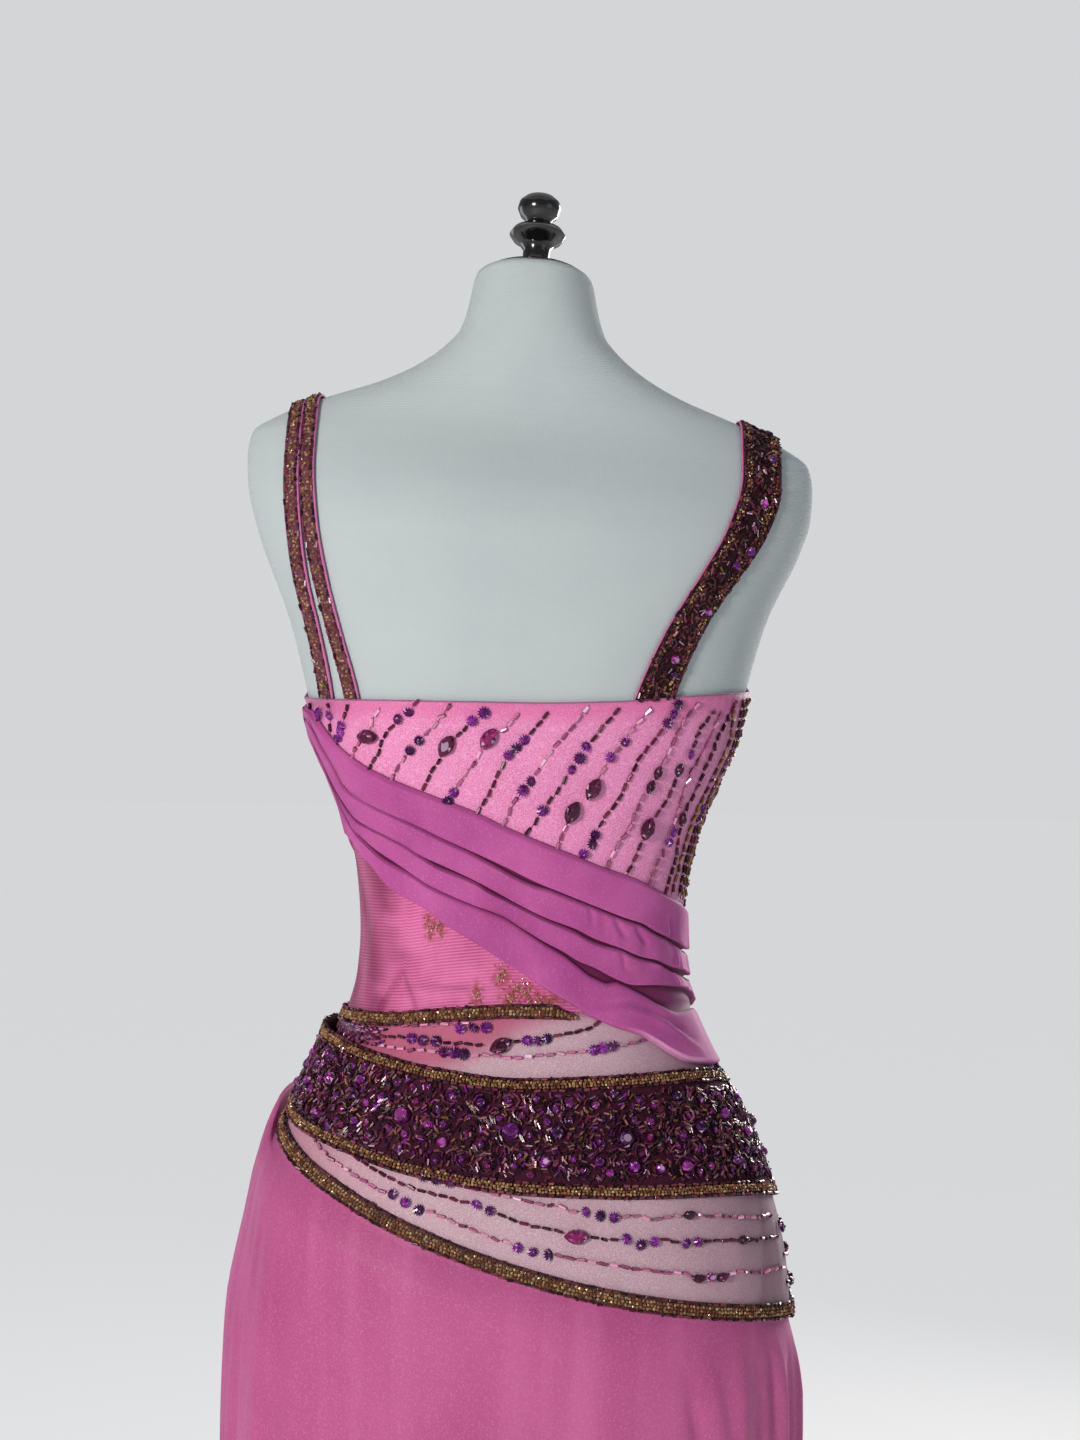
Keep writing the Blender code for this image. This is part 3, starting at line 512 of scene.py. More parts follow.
def ring(x, radius, sides, turn=0.0):
    """Ring of points square to X."""
    angle = np.linspace(0, 2 * math.pi, sides, endpoint=False) + turn
    return np.stack((np.full(sides, x), radius * np.cos(angle), radius * np.sin(angle)), -1)


def strip_faces(first, second, sides):
    """Quads between two rings of equal count."""
    k = np.arange(sides)
    n = (k + 1) % sides
    return np.stack((first + k, second + k, second + n, first + n), -1).tolist()


# Each shape is a list of points, one of faces and one of painted shades, of size one, along X with Z
# outwards.
# The painted shades are painted light: darker ends, sides and undersides, lighter tops
# Tube: ends painted darker and the two faces along its top painted lighter, a painted highlight
TUBE_RINGS = ((-0.5, 0.36), (-0.43, 0.5), (0.43, 0.5), (0.5, 0.36))
TUBE = (np.concatenate([ring(x, radius, 6, math.pi / 6) for x, radius in TUBE_RINGS]),
        strip_faces(6, 0, 6) + strip_faces(12, 6, 6) + strip_faces(18, 12, 6)
        + [list(range(0, 6)), list(range(23, 17, -1))],
        np.repeat((0.4, 1.0, 1.0, 0.4), 6) * np.tile((1.0, 2.6, 1.0, 0.7, 0.5, 0.7), 4))
PLAIN_TUBE = (np.concatenate((ring(-0.5, 0.5, 5), ring(0.5, 0.5, 5))),
              strip_faces(5, 0, 5) + [list(range(0, 5)), list(range(9, 4, -1))], np.repeat((0.8, 1.1), 5))
SEED = (np.concatenate((ring(-0.40, 0.28, 4), ring(0, 0.52, 4, 0.6), ring(0.40, 0.28, 4))),
        strip_faces(4, 0, 4) + strip_faces(8, 4, 4) + [list(range(0, 4)), list(range(11, 7, -1))],
        np.repeat((0.5, 1.2, 0.5), 4))


def faceted(points_out, height_steps, point):
    """Cut stone: rings of an outline, each scaled in and raised, with every other point a little higher,
    closed by a small flat table. The outline is a circle, or an oval with two soft points, whose y is
    (1 - |x|^1.8)^0.75."""
    angle = np.linspace(0, 2 * math.pi, points_out, endpoint=False)
    x, y = np.cos(angle) / 2, np.sin(angle) / 2
    if point:
        y = np.sign(y) * 0.5 * (1 - np.abs(2 * x) ** 1.8) ** 0.75
    rings, faces = [], []
    for number, (scale, height, zigzag) in enumerate(height_steps):
        lift = height + zigzag * (np.arange(points_out) % 2)
        rings.append(np.stack((x * scale, y * scale, lift), -1))
        if number:
            k = np.arange(points_out)
            n = (k + 1) % points_out
            low, high = (number - 1) * points_out, number * points_out
            faces += np.stack((low + k, low + n, high + n), -1).tolist()
            faces += np.stack((low + k, high + n, high + k), -1).tolist()
    last = (len(height_steps) - 1) * points_out
    faces += [list(range(last, last + points_out)), list(range(points_out - 1, -1, -1))]
    # Painted light: rings darker at the girdle and lighter towards the table
    shades = np.repeat(np.linspace(0.5, 1.3, len(height_steps)), points_out)
    return np.concatenate(rings), faces, shades


STONE = faceted(14, ((0.94, 0.0, 0.0), (1.0, 0.16, 0.03), (0.78, 0.36, 0.07), (0.46, 0.50, 0.0)), True)
ROUND_STONE = faceted(10, ((0.92, 0.0, 0.0), (1.0, 0.18, 0.03), (0.76, 0.42, 0.08), (0.44, 0.56, 0.0)),
                      False)


def sequin_shape():
    """Cupped sequin: a ring of points in and out by turns, a raised inner ring, and a seed bead on top."""
    angle = np.linspace(0, 2 * math.pi, 24, endpoint=False)
    outer = np.arange(24) % 2 == 0
    radius = np.where(outer, 0.5, 0.33)
    rim = np.stack((radius * np.cos(angle), radius * np.sin(angle), np.where(outer, 0.08, 0.22)), -1)
    turn = angle[::4] + 0.13
    inner = np.stack((0.17 * np.cos(turn), 0.17 * np.sin(turn), np.full(6, 0.27)), -1)
    points = np.concatenate((rim, inner, [(0, 0, 0.44), (0, 0, 0.0)]))
    faces = []
    for k in range(24):
        faces.append([k, (k + 1) % 24, 24 + (k // 4)])
        faces.append([(k + 1) % 24, k, 31])
    for k in range(6):
        faces.append([(4 * k + 4) % 24, 24 + (k + 1) % 6, 24 + k])
        faces.append([24 + k, 24 + (k + 1) % 6, 30])
    # Painted light: bright outer tips and top bead, dark inner points and underside
    shades = np.concatenate((np.where(outer, 1.5, 0.45), np.full(6, 0.6), (1.6, 0.3)))
    return points, faces, shades


SEQUIN = sequin_shape()
THREAD = (np.concatenate((ring(-0.5, 0.5, 3), ring(0.5, 0.5, 3))), strip_faces(3, 0, 3), np.ones(6))
SHAPES = {"tube": TUBE, "plain_tube": PLAIN_TUBE, "thread": THREAD, "seed": SEED, "stone": STONE,
          "round": ROUND_STONE, "sequin": SEQUIN}
# How unevenly a shape's facets are painted lighter and darker, as painted sparkle: a spread of their
# logarithm
FACET_SPREAD = {"tube": 0.2, "plain_tube": 0.35, "thread": 0.1, "seed": 0.3, "stone": 0.7, "round": 0.7,
                "sequin": 0.5}
# Share of facets painted as glints, and the colour of those painted highlights
GLINTS = {"plain_tube": 0.02, "stone": 0.07, "round": 0.10, "sequin": 0.06}
GLINT = np.array((0.62, 0.40, 0.60, 1.0))


def drop(group, shape, centre, along, outward, size, tone):
    """Puts many beads in a pool: places, the ways they lie and face, sizes and a colour each of a tone's."""
    centre, along, outward = (np.atleast_2d(v).astype(float) for v in (centre, along, outward))
    count = len(centre)
    choice = beads_random.integers(0, len(GLASS[tone]), count)
    tints = np.array([colour(code) for code in GLASS[tone]])[choice]
    tints[:, :3] *= beads_random.uniform(0.75, 1.25, (count, 1))
    size = np.broadcast_to(np.asarray(size, float), (count, 3))
    pool.setdefault(group, []).append((shape, centre, along, outward, size, tints))


def bead_piece(name, group, material, slot):
    """Joins a pool into one mesh. Each bead is its shape times its size in its own axes, moved to its place.
    Each facet has one colour: the bead's own times the mean painted shade of its points and a random share
    of painted sparkle, or now and then a painted glint."""
    points, faces, tints, first = [], [], [], 0
    for shape, centre, along, outward, size, tint in pool.pop(group):
        form, sides, shades = SHAPES[shape]
        outward = unit(outward)
        along = unit(along - outward * (along * outward).sum(-1, keepdims=True))
        axes = np.stack((along, np.cross(outward, along), outward), 1)
        placed = np.einsum("vk,nk,nkd->nvd", form, size, axes) + centre[:, None]
        points.append(placed.reshape(-1, 3))
        starts = first + np.arange(len(centre)) * len(form)
        for face in sides:
            faces += (starts[:, None] + np.array(face)).tolist()
            uneven = beads_random.normal(0, FACET_SPREAD[shape], (len(centre), 1))
            shade = shades[face].mean() * np.exp(uneven)
            shaded = tint * shade
            if shape in GLINTS:
                bright = beads_random.uniform(size=len(centre)) < GLINTS[shape]
                shaded[bright] = GLINT * beads_random.uniform(0.4, 1.2, (bright.sum(), 1))
            tints.append(np.repeat(np.minimum(shaded, 1.0), len(face), 0))
        first += placed.shape[0] * placed.shape[1]
    mesh = bpy.data.meshes.new(name)
    mesh.from_pydata(np.concatenate(points).tolist(), [], faces)
    layer = mesh.attributes.new("glass", "FLOAT_COLOR", "CORNER")
    tints = np.concatenate(tints)
    tints[:, 3] = 1.0
    layer.data.foreach_set("color", tints.astype(np.float32).ravel())
    mesh.shade_flat()
    return dress(new_object(name, mesh), material, slot)


def spot(angle, height, out):
    """Place and outward direction over the body at an angle in degrees and a height in metres."""
    angle = np.radians(angle)
    return body_surface(angle, height, out), body_normal(angle, height)


def read_path(values, length, at):
    """Rows of values, one for each point of a path, read at lengths along it."""
    return np.stack([np.interp(at, length, values[:, k]) for k in range(3)], -1)


def lay_strand(group, tone, words, out):
    """Fills a strand: sequins and stones at their way points, and tube beads evenly along what is left."""
    letters = [word[0] for word in words.split()]
    marks = np.array([[float(v) for v in word[1:].split(",")] for word in words.split()]) / (1, 1000)
    knots = np.arange(len(marks))
    fine = np.linspace(0, len(marks) - 1, PATH_STEPS * (len(marks) - 1) + 1)
    path, facing = spot(np.interp(fine, knots, marks[:, 0]), np.interp(fine, knots, marks[:, 1]), out)
    length = lengths(path)
    at_mark = length[::PATH_STEPS]
    way = unit(np.gradient(path, axis=0))

    taken = [(-1.0, 0.0), (length[-1], length[-1] + 1)]
    for number, letter in enumerate(letters):
        centre, along, outward = (read_path(v, length, at_mark[number]) for v in (path, way, facing))
        if letter == "s":
            turn = beads_random.uniform(-1, 1, 3)
            tipped = outward + 0.22 * beads_random.normal(size=3)
            size = SEQUIN_SIZE * beads_random.uniform(0.92, 1.1)
            drop(group, "sequin", centre, turn, tipped, size, "sequin")
            reach = SEQUIN_SIZE * 0.5
        elif letter in "nmh":
            scale = SMALL_STONE if letter == "m" else 1.0
            lie = np.cross(outward, (0, 0, 1)) if letter == "h" else along + 0.15 * np.cross(outward, along)
            size = (STONE_LONG * scale, STONE_WIDE * scale, STONE_WIDE * scale)
            drop(group, "stone", centre, lie, outward, size, "stone")
            reach = STONE_LONG * scale * (0.36 if letter == "h" else 0.52)
        elif letter == "x":
            taken.append((at_mark[number], at_mark[number + 1]))
            continue
        else:
            continue
        taken.append((at_mark[number] - reach, at_mark[number] + reach))
    taken.sort()
    for (_, start), (stop, _) in zip(taken, taken[1:]):
        count = round((stop - start) / TUBE_PITCH)
        if count < 1:
            continue
        at = start + (np.arange(count) + 0.5) * (stop - start) / count
        centre, along, outward = (read_path(v, length, at) for v in (path, way, facing))
        along = along + 0.10 * beads_random.normal(size=along.shape)
        centre = centre + TUBE_STRAY * np.cross(outward, along) * beads_random.normal(size=(count, 1))
        long = min(TUBE_LONG, (stop - start) / count * 0.78)
        outward = outward + 0.25 * beads_random.normal(size=outward.shape)
        drop(group, "tube", centre, along, outward, (long, TUBE_WIDE, TUBE_WIDE), tone)
        thread_at = np.arange(start, stop, THREAD_STEP) + THREAD_STEP / 2
        below = path - facing * THREAD_BELOW
        centre, along, outward = (read_path(v, length, thread_at) for v in (below, way, facing))
        drop(group, "thread", centre, along, outward, (THREAD_LONG, THREAD_WIDE, THREAD_WIDE), "thread")


# Cut glass and foil-backed beads: dark and clear, smooth enough to throw small bright points, with painted
# highlights in pale patches
glass, tree, shader = new_finish("cut_glass_beads", "#4A1230", 0.20, Metallic=0.15, Specular_IOR_Level=0.4)
tint = add_node(tree, "Attribute", attribute_name="glass").outputs["Color"]
place = add_node(tree, "TexCoord").outputs["Object"]
highlight_noise = add_node(tree, "TexNoise", {"Vector": place, "Scale": 900.0, "Detail": 1.0}).outputs["Fac"]
lit = add_node(tree, "MapRange", {"Value": highlight_noise, "From Min": 0.62, "From Max": 0.75, "To Min": 0.0,
                                  "To Max": 0.3}).outputs[0]
lay_finish(tree, shader, tint, [(lit, "#C07AB0")])

for tone, words in STRANDS:
    lay_strand("bodice_back", tone, words, BEAD_OUT)
bead_piece("bodice_beads_back", "bodice_back", glass, "dark_beading")

# The same strands carried on round the right side and the front, each from the top edge to the sash
ORNAMENTS = ("", "s.30 s.36 s.42", "n.45", "s.62 s.68", "n.30 s.70 s.76", "m.50 m.58", "s.20 s.26 n.60",
             "n.72")
for number, start in enumerate(np.concatenate((np.arange(182, 200, 5.5), np.arange(203, 372, 8.4)))):
    lean = 6 if start < 200 else 26
    words = dict.fromkeys((0.0, 0.25, 0.5, 0.75, 1.0), ".")
    for ornament in ORNAMENTS[(number * 5) % len(ORNAMENTS)].split():
        words[float(ornament[1:])] = ornament[0]
    places = []
    for share in sorted(words):
        angle = start - lean * share
        high = line_height("top_edge", math.radians(start)) - 0.006
        low = line_height("sash_top", math.radians(start - lean)) + 0.002
        angle = angle % 360 if start < 360 else angle
        places.append(f"{words[share]}{angle:.1f},{1000 * (high + (low - high) * share):.1f}")
    tone = "gold" if start < 200 and number % 2 else ("dark", "light")[number % 2]
    lay_strand("bodice_front", tone, " ".join(places), BEAD_OUT)
bead_piece("bodice_beads_front", "bodice_front", glass, "dark_beading")


# The waist. Fine mesh gathered in level ribs over a deeper pink, with flecks of gold stitching and a
# small tuck above the seam. Its upper edge runs on under the sash.
WAIST_UNDER_SASH, STITCH_BEAD = 0.030, 0.0012
GLASS["stitch"] = ("#C0A878", "#AC9058", "#CDBB90", "#C07478", "#B06068")
# Gold stitching: angle, height, half width in degrees, half height
GOLD_FLECKS = np.array((
    (62, 1056, 2.2, 8), (58, 1056, 1.6, 9), (84, 1026, 3, 6), (91, 1017, 5, 6), (76, 1014, 2, 8),
    (87, 1012, 3, 3), (99, 1012, 6, 4), (341, 1034, 2.2, 6), (316, 1016, 3.4, 5), (303, 1010, 4, 3),
)) / (1, 1000, 1, 1000)
WAIST_CREASES = (
    (49, 1016, 0, 9, 12, 0.5), (30, 1040, 40, 2.6, 30, 1), (22, 1050, 20, 2, 34, -0.8),
    (14, 1035, 10, 2, 32, 1), (6, 1045, 0, 2.2, 30, 0.8), (-4, 1040, -10, 2.4, 34, 0.9),
    (70, 1022, 900, 6, 10, -0.6), (350, 1040, 0, 2, 34, 0.9), (338, 1035, 20, 2.6, 30, 0.8),
    (320, 1025, 60, 4, 24, 0.8), (300, 1015, 100, 5, 16, 0.6),
)
# The tuck: two lines that part downwards from its top, with their ridge's height and width in degrees
TUCK_ANGLE, TUCK_FOOT, TUCK_TOP, TUCK_SPREAD, TUCK_HEIGHT, TUCK_WIDTH = 49.0, 1.002, 1.030, 9.0, 0.0020, 1.1

# Gathered mesh: ribs 2 mm apart that wander, lighter on their crowns, over a rose lining, with painted shade
# where it is gathered at the left, inside the tuck and along a level crease
mesh_cloth, tree, shader = new_finish("gathered_mesh", "#D0589C", 0.6, Sheen_Weight=0.1,
                                      Specular_IOR_Level=0.3)
cut = add_node(tree, "UVMap", uv_map="cut").outputs[0]
ribs = add_node(tree, "TexWave", {"Vector": cut, "Scale": threads(0.0020), "Distortion": 4.0, "Detail": 2.0,
                                  "Detail Scale": 0.05, "Detail Roughness": 0.6},
                bands_direction="Y").outputs["Fac"]
patches = add_node(tree, "TexNoise", {"Vector": cut, "Scale": 34.0, "Detail": 4.0,
                                      "Roughness": 0.6}).outputs["Fac"]
light = add_node(tree, "MapRange", {"Value": patches, "From Min": 0.38, "From Max": 0.60}).outputs[0]
rib_share, shade_share = (add_node(tree, "Math", {0: ribs, 1: most}, operation="MULTIPLY").outputs[0]
                          for most in (0.55, 0.35))
side_shade = add_node(tree, "Attribute", attribute_name="gathers_and_shade").outputs["Fac"]
shade_tone = add_node(tree, "Mix", {0: shade_share, 6: colour("#7E2650"), 7: colour("#C45C88")},
                      data_type="RGBA").outputs[2]
gold_share = add_node(tree, "Attribute", attribute_name="gilded").outputs["Fac"]
flecks = add_node(tree, "TexNoise", {"Vector": cut, "Scale": 300.0, "Detail": 2.0}).outputs["Fac"]
fleck = add_node(tree, "MapRange", {"Value": flecks, "From Min": 0.40, "From Max": 0.56}).outputs[0]
gilded = add_node(tree, "Math", {0: gold_share, 1: fleck}, operation="MULTIPLY").outputs[0]
lay_finish(tree, shader, "#B8407C", [(light, "#D4609A"), (rib_share, "#EE94C4"), (side_shade, shade_tone),
                                     (gilded, "#A84650")], (ribs, 0.0003, 0.8))

for side in ("back", "front"):
    theta = half_angles(side, 170)
    high = line_height("sash_bottom", theta) + WAIST_UNDER_SASH
    low = line_height("waist_seam", theta) + SEAM_GAP / 2
    height = high + (low - high) * np.linspace(0, 1, 30)[:, None]
    degrees = signed(np.degrees(theta))
    rise = np.clip((height - TUCK_FOOT) / (TUCK_TOP - TUCK_FOOT), 0, 1)
    arm = np.abs(degrees - TUCK_ANGLE) - TUCK_SPREAD * (1 - rise)
    closed = ease_in(1 - rise, 0.0, 0.15)
    out = CLOTH_OUT + waves(theta, height, WAIST_CREASES) + TUCK_HEIGHT * bell(arm, TUCK_WIDTH) * closed
    waist, points = half_cloth("waist_mesh_", side, theta, height, out, from_foot=True)
    wander = 4 * np.sin(height * 150) + 2 * np.sin(height * 410 + 1)
    # Painted shade: darker where the mesh is gathered at the left side, inside the tuck and along a level
    # crease
    gather_shade = ease_in(degrees, -40, 5) * (1 - ease_in(degrees + wander, 34, 52))
    gather_shade = gather_shade * (0.75 + 0.2 * np.sin(height * 90 + degrees * 0.3))
    tuck_shade = 0.55 * bell(arm + 1.2, 1.4) * closed
    crease_shade = 0.5 * bell(height - 1.0175 - 0.00006 * (degrees - 60), 0.0022) * bell(degrees - 67, 12)
    paint(waist, "gathers_and_shade", np.clip(gather_shade + tuck_shade + crease_shade, 0, 0.95))
    gold = sum(bell(signed(degrees - angle), wide) * bell(height - middle, tall)
               for angle, middle, wide, tall in GOLD_FLECKS)
    paint(waist, "gilded", np.clip(1.4 * gold, 0, 1))
    thicken(waist, CLOTH_THICK)
    dress(waist, mesh_cloth, "waist_mesh", "waist_" + side)
    # Seed beads of the gold stitching, scattered thickest in the middle of each fleck
    for angle, middle, wide, tall in GOLD_FLECKS:
        if (angle < 180) == (side == "back"):
            count = int(10 * wide * tall / 0.006)
            angles = angle + wide * 0.55 * beads_random.normal(size=count)
            heights = middle + tall * 0.55 * beads_random.normal(size=count)
            heights = np.maximum(heights, line_height("waist_seam", np.radians(angles)) + 0.006)
            place, facing = spot(angles, heights, CLOTH_OUT + 0.0008)
            turn = beads_random.normal(size=(count, 3))
            drop("stitching" + side, "seed", place, turn, facing, STITCH_BEAD, "stitch")
    stitching = bead_piece("waist_stitching_" + side, "stitching" + side, glass, "beading")
    width = float(lengths(points[15])[-1])


# The sash. A length of mauve chiffon wrapped slantwise from the left bust to the right hip in four
# folds. Each fold hangs over the one below, and the gaps between them open and close.
# Its edges as pairs of angle and height: those at the back as seen, the rest carried round
SASH_EDGES = (
    "0,1188 10,1196 22,1193 30,1181 36,1169 45,1157 61,1143 76,1131 84,1123 95,1114 107,1105 116,1098 "
    "129,1090 143,1080 157,1073 180,1065 202,1062 225,1066 247,1076 270,1092 292,1112 315,1136 337,1164",
    "0,1179 9,1187 16,1189 21,1186 24,1180 26,1173 28.5,1161 31,1149 34,1143 38,1139 45,1133 52,1127 "
    "58,1122 65,1115 74,1107 84,1098 96,1087 104,1081 112,1075 126,1065 133,1061 140,1055 150,1049 "
    "165,1041 180,1038 202,1038 225,1043 247,1055 270,1072 292,1095 315,1121 337,1150",
    "0,1168 8,1175 13,1176 16,1173 18,1166 20,1155 22,1145 24,1138 28,1131 33,1125 38,1121 45,1116 "
    "52,1110 58,1103 65,1097 74,1089 84,1079 91,1072 99,1065 109,1058 115,1052 125,1045 133,1039 "
    "140,1036 150,1030 162,1026 180,1020 202,1019 225,1023 247,1036 270,1054 292,1077 315,1103 337,1135",
    "0,1150 8,1159 13,1160 16,1156 18,1149 20,1139 22,1131 24,1126 29,1118 34,1113 41,1105 48,1098 "
    "54,1091 59,1085 67,1078 75,1072 84,1066 91,1058 99,1049 105,1043 110,1037 115,1033 123,1025 "
    "129,1021 139,1020 148,1018 161,1014 180,1004 202,994 225,999 247,1013 270,1033 292,1057 315,1084 "
    "337,1118",
    "0,1110 12,1112 20,1111 27,1107 31,1101 37,1094 44,1082 52,1074 58,1069 65,1059 74,1049 84,1037 "
    "92,1028 100,1018 107,1010 114,1001 122,994 129,989 134,983 139,976 145,970 153,967 165,963 180,961 "
    "202,964 225,973 247,989 270,1011 292,1036 315,1062 337,1090",
)
# How far each of the three pleats gapes, as pairs of angle and gap
GAPES = (
    "0,0.8 12,1 22,1.4 26,1.8 30,2 33,1.2 37,0.9 45,0.8 50,0.5 62,0.7 72,0.8 80,1.8 88,2.9 94,2.4 "
    "100,0.8 112,0.6 128,0.9 140,0.7 150,1.2 162,2.5 180,1.2 215,2 250,0.8 290,2.2 320,0.8 345,1.2",
    "0,1.4 12,2.6 18,5 21,4 24,1.2 28,1.8 32,2.4 38,1.2 47,0.4 58,0.8 63,2.3 69,1.4 75,0.8 80,1.9 86,1 "
    "95,0.5 105,1 112,1.8 118,1.6 125,0.5 132,0.8 142,1 152,3 162,5 175,3.5 195,1.2 235,2.6 265,0.8 "
    "305,1.8 335,0.8",
    "0,1 12,2 19,2 23,1 27,1.6 31,2.8 42,3.8 50,2 56,0.6 75,0.4 90,0.4 98,1 104,1.6 109,2.6 115,6.2 "
    "119,5.6 123,1.4 126,1 132,5 139,12 148,16.5 156,15 165,12 180,6 200,2 230,1 262,2.8 290,0.8 "
    "325,1.8 345,0.6",
)
SASH_LOW, SASH_THICK = 0.0036, 0.0004
# Metres round the body to a degree, about the mean of waist and hip
DEGREE_WIDE = 0.0019


def pairs(words):
    """Array of the pairs of numbers in a text."""
    return np.array([[float(v) for v in word.split(",")] for word in words.split()])


def crease(theta, height, path, half_width):
    """Share of a soft ridge along a path of angles and heights: a bell of the distance to its nearest
    straight part, thinned out towards both ends."""
    across, up = np.degrees(theta) * DEGREE_WIDE, height
    path = pairs(path) * (DEGREE_WIDE, 0.001)
    best, share_there = np.full(np.shape(across + up), 1.0), np.zeros(np.shape(across + up))
    for number, (start, stop) in enumerate(zip(path, path[1:])):
        step = stop - start
        part = np.clip(((across - start[0]) * step[0] + (up - start[1]) * step[1]) / (step @ step), 0, 1)
        distance = np.hypot(across - start[0] - part * step[0], up - start[1] - part * step[1])
        nearer = distance < best
        best = np.where(nearer, distance, best)
        share_there = np.where(nearer, (number + part) / (len(path) - 1), share_there)
    fade = np.clip(4 * share_there * (1 - share_there) * 1.6, 0, 1)
    return bell(best, half_width / 1000) * fade


# Longer folds of the sash: path, half width, depth
SASH_FOLDS = (
    ("112,1004 118,1008 126,1009 134,1004 141,996 149,986 156,976", 2.2, -1.6),
    ("112,1001 119,1005 127,1005 135,1000 142,991 150,981 157,971", 3, 1.6),
    ("113,1073 114,1066 114,1060", 1.6, -1.4), ("122,1066 124,1058 127,1052", 2, -1.6),
    ("130,1060 133,1052 136,1046", 2, -1.8), ("146,1066 148,1056 148,1046", 1.8, -1.8),
    ("125,1044 126,1036 126,1030", 1.4, -1.2), ("154,1040 150,1026 153,1016", 2, 1.6),
    ("128,1030 136,1036 144,1030", 2.2, 1.2), ("139,1010 146,1008 153,1010", 1.8, 1.6),
    ("205,1050 216,1056 230,1058", 2.6, 1.4), ("212,1006 226,1012 240,1026", 2.6, 1.6),
    ("262,1066 272,1078 282,1092", 2.6, -1.4), ("300,1080 312,1096 322,1110", 2.6, 1.4),
    ("328,1140 336,1150 346,1158", 2.2, -1.4), ("344,1110 352,1118 362,1126", 2.2, 1.4),
)
# Where the pleats climb steeply at the left side, shallow grooves between them with painted shade along
# them: path, half width
SASH_CLIMBS = (
    ("22.3,1194 23.7,1182 25.3,1177 26.3,1172 28.5,1163 29.7,1155 31,1147 34,1142 41,1137", 2.2),
    ("18.4,1184 18.7,1171 19.3,1162 20,1155 20.9,1148 24.3,1137 27.7,1130 33,1124", 3),
    ("17.3,1164 18.2,1155 19.7,1142 21.3,1132 23.7,1125 29,1117", 2.2),
)
SASH_CREASES = (
    (118, 1062, -30, 1.6, 10, -0.8), (123, 1052, -30, 1.2, 8, 0.6), (134, 1045, 20, 2.2, 10, -0.9),
    (140, 1040, 40, 1.8, 10, 0.8), (150, 1050, 20, 2.6, 14, -1), (156, 1032, 10, 2.4, 12, 1),
    (166, 1015, 0, 3, 20, -1), (172, 1045, 0, 3, 20, 1), (126, 1010, 600, 4, 10, 1),
    (140, 996, 900, 6, 6, 1.4), (152, 985, 700, 5, 6, -1), (185, 1010, 0, 3, 30, 1),
    (205, 1020, 60, 4, 30, -0.8), (240, 1030, 90, 5, 26, 0.8), (270, 1060, 90, 4, 22, -0.7),
    (300, 1080, 90, 4, 24, 0.8), (330, 1110, 60, 3, 24, -0.8), (352, 1130, 30, 2, 24, 0.8),
    (8, 1140, 20, 1.8, 24, -0.8), (18, 1120, 60, 2, 20, 0.8),
)

# Chiffon: matt crinkled threads, with the odd painted glint, a painted highlight along the hem, and a deep
# wine red painted shade in the gaps between the folds
chiffon, tree, shader = new_finish("mauve_chiffon", "#AE5298", 0.66, Sheen_Weight=0.25,
                                   Specular_IOR_Level=0.25, Sheen_Tint=colour("#E79AD8"))
cut = add_node(tree, "UVMap", uv_map="cut").outputs[0]
crinkle = add_node(tree, "TexNoise", {"Vector": cut, "Scale": 700.0, "Detail": 2.0}).outputs["Fac"]
patches = add_node(tree, "TexNoise", {"Vector": cut, "Scale": 18.0, "Detail": 3.0}).outputs["Fac"]
light = add_node(tree, "MapRange", {"Value": patches, "From Min": 0.35, "From Max": 0.65}).outputs[0]
glint_cells = add_node(tree, "TexVoronoi", {"Vector": cut, "Scale": 1200.0}).outputs["Color"]
glint_speck = add_node(tree, "MapRange", {"Value": glint_cells, "From Min": 0.70, "From Max": 0.98,
                                    "To Max": 0.26}).outputs[0]
hem = add_node(tree, "Attribute", attribute_name="hem").outputs["Fac"]
fold_shade = add_node(tree, "Attribute", attribute_name="fold_shade").outputs["Fac"]
lay_finish(tree, shader, "#AA468C", [(light, "#C25CA0"), (glint_speck, "#DE9CCE"), (hem, "#EDA8D0"),
                                     (fold_shade, "#560C38")], (crinkle, 0.00012, 0.6))

# Each fold from its upper to its lower edge: share of the way down, drop, stand-out, depth of shade
FOLD = np.array((
    (0, 0, 3.6, 1), (0, 0.4, 5, 0.85), (0, 1, 6.1, 0.3), (0.05, 1.2, 6.7, 0.05), (0.12, 0, 7, 0),
    (0.2, 0, 7.2, 0), (0.28, 0, 7.4, 0), (0.36, 0, 7.6, 0), (0.44, 0, 7.7, 0), (0.52, 0, 7.9, 0),
    (0.6, 0, 8, 0), (0.68, 0, 8.1, 0), (0.76, 0, 8.3, 0), (0.84, 0, 8.4, 0), (0.92, 0, 8.5, 0),
    (0.97, -0.6, 8.6, 0), (1, -0.4, 8.4, 0), (1, 0, 7.9, 0.1), (1, 0, 7, 0.5), (1, -0.4, 5, 0.9),
    (1, 0.3, 3.6, 1),
)) / (1, 1000, 1000, 1)
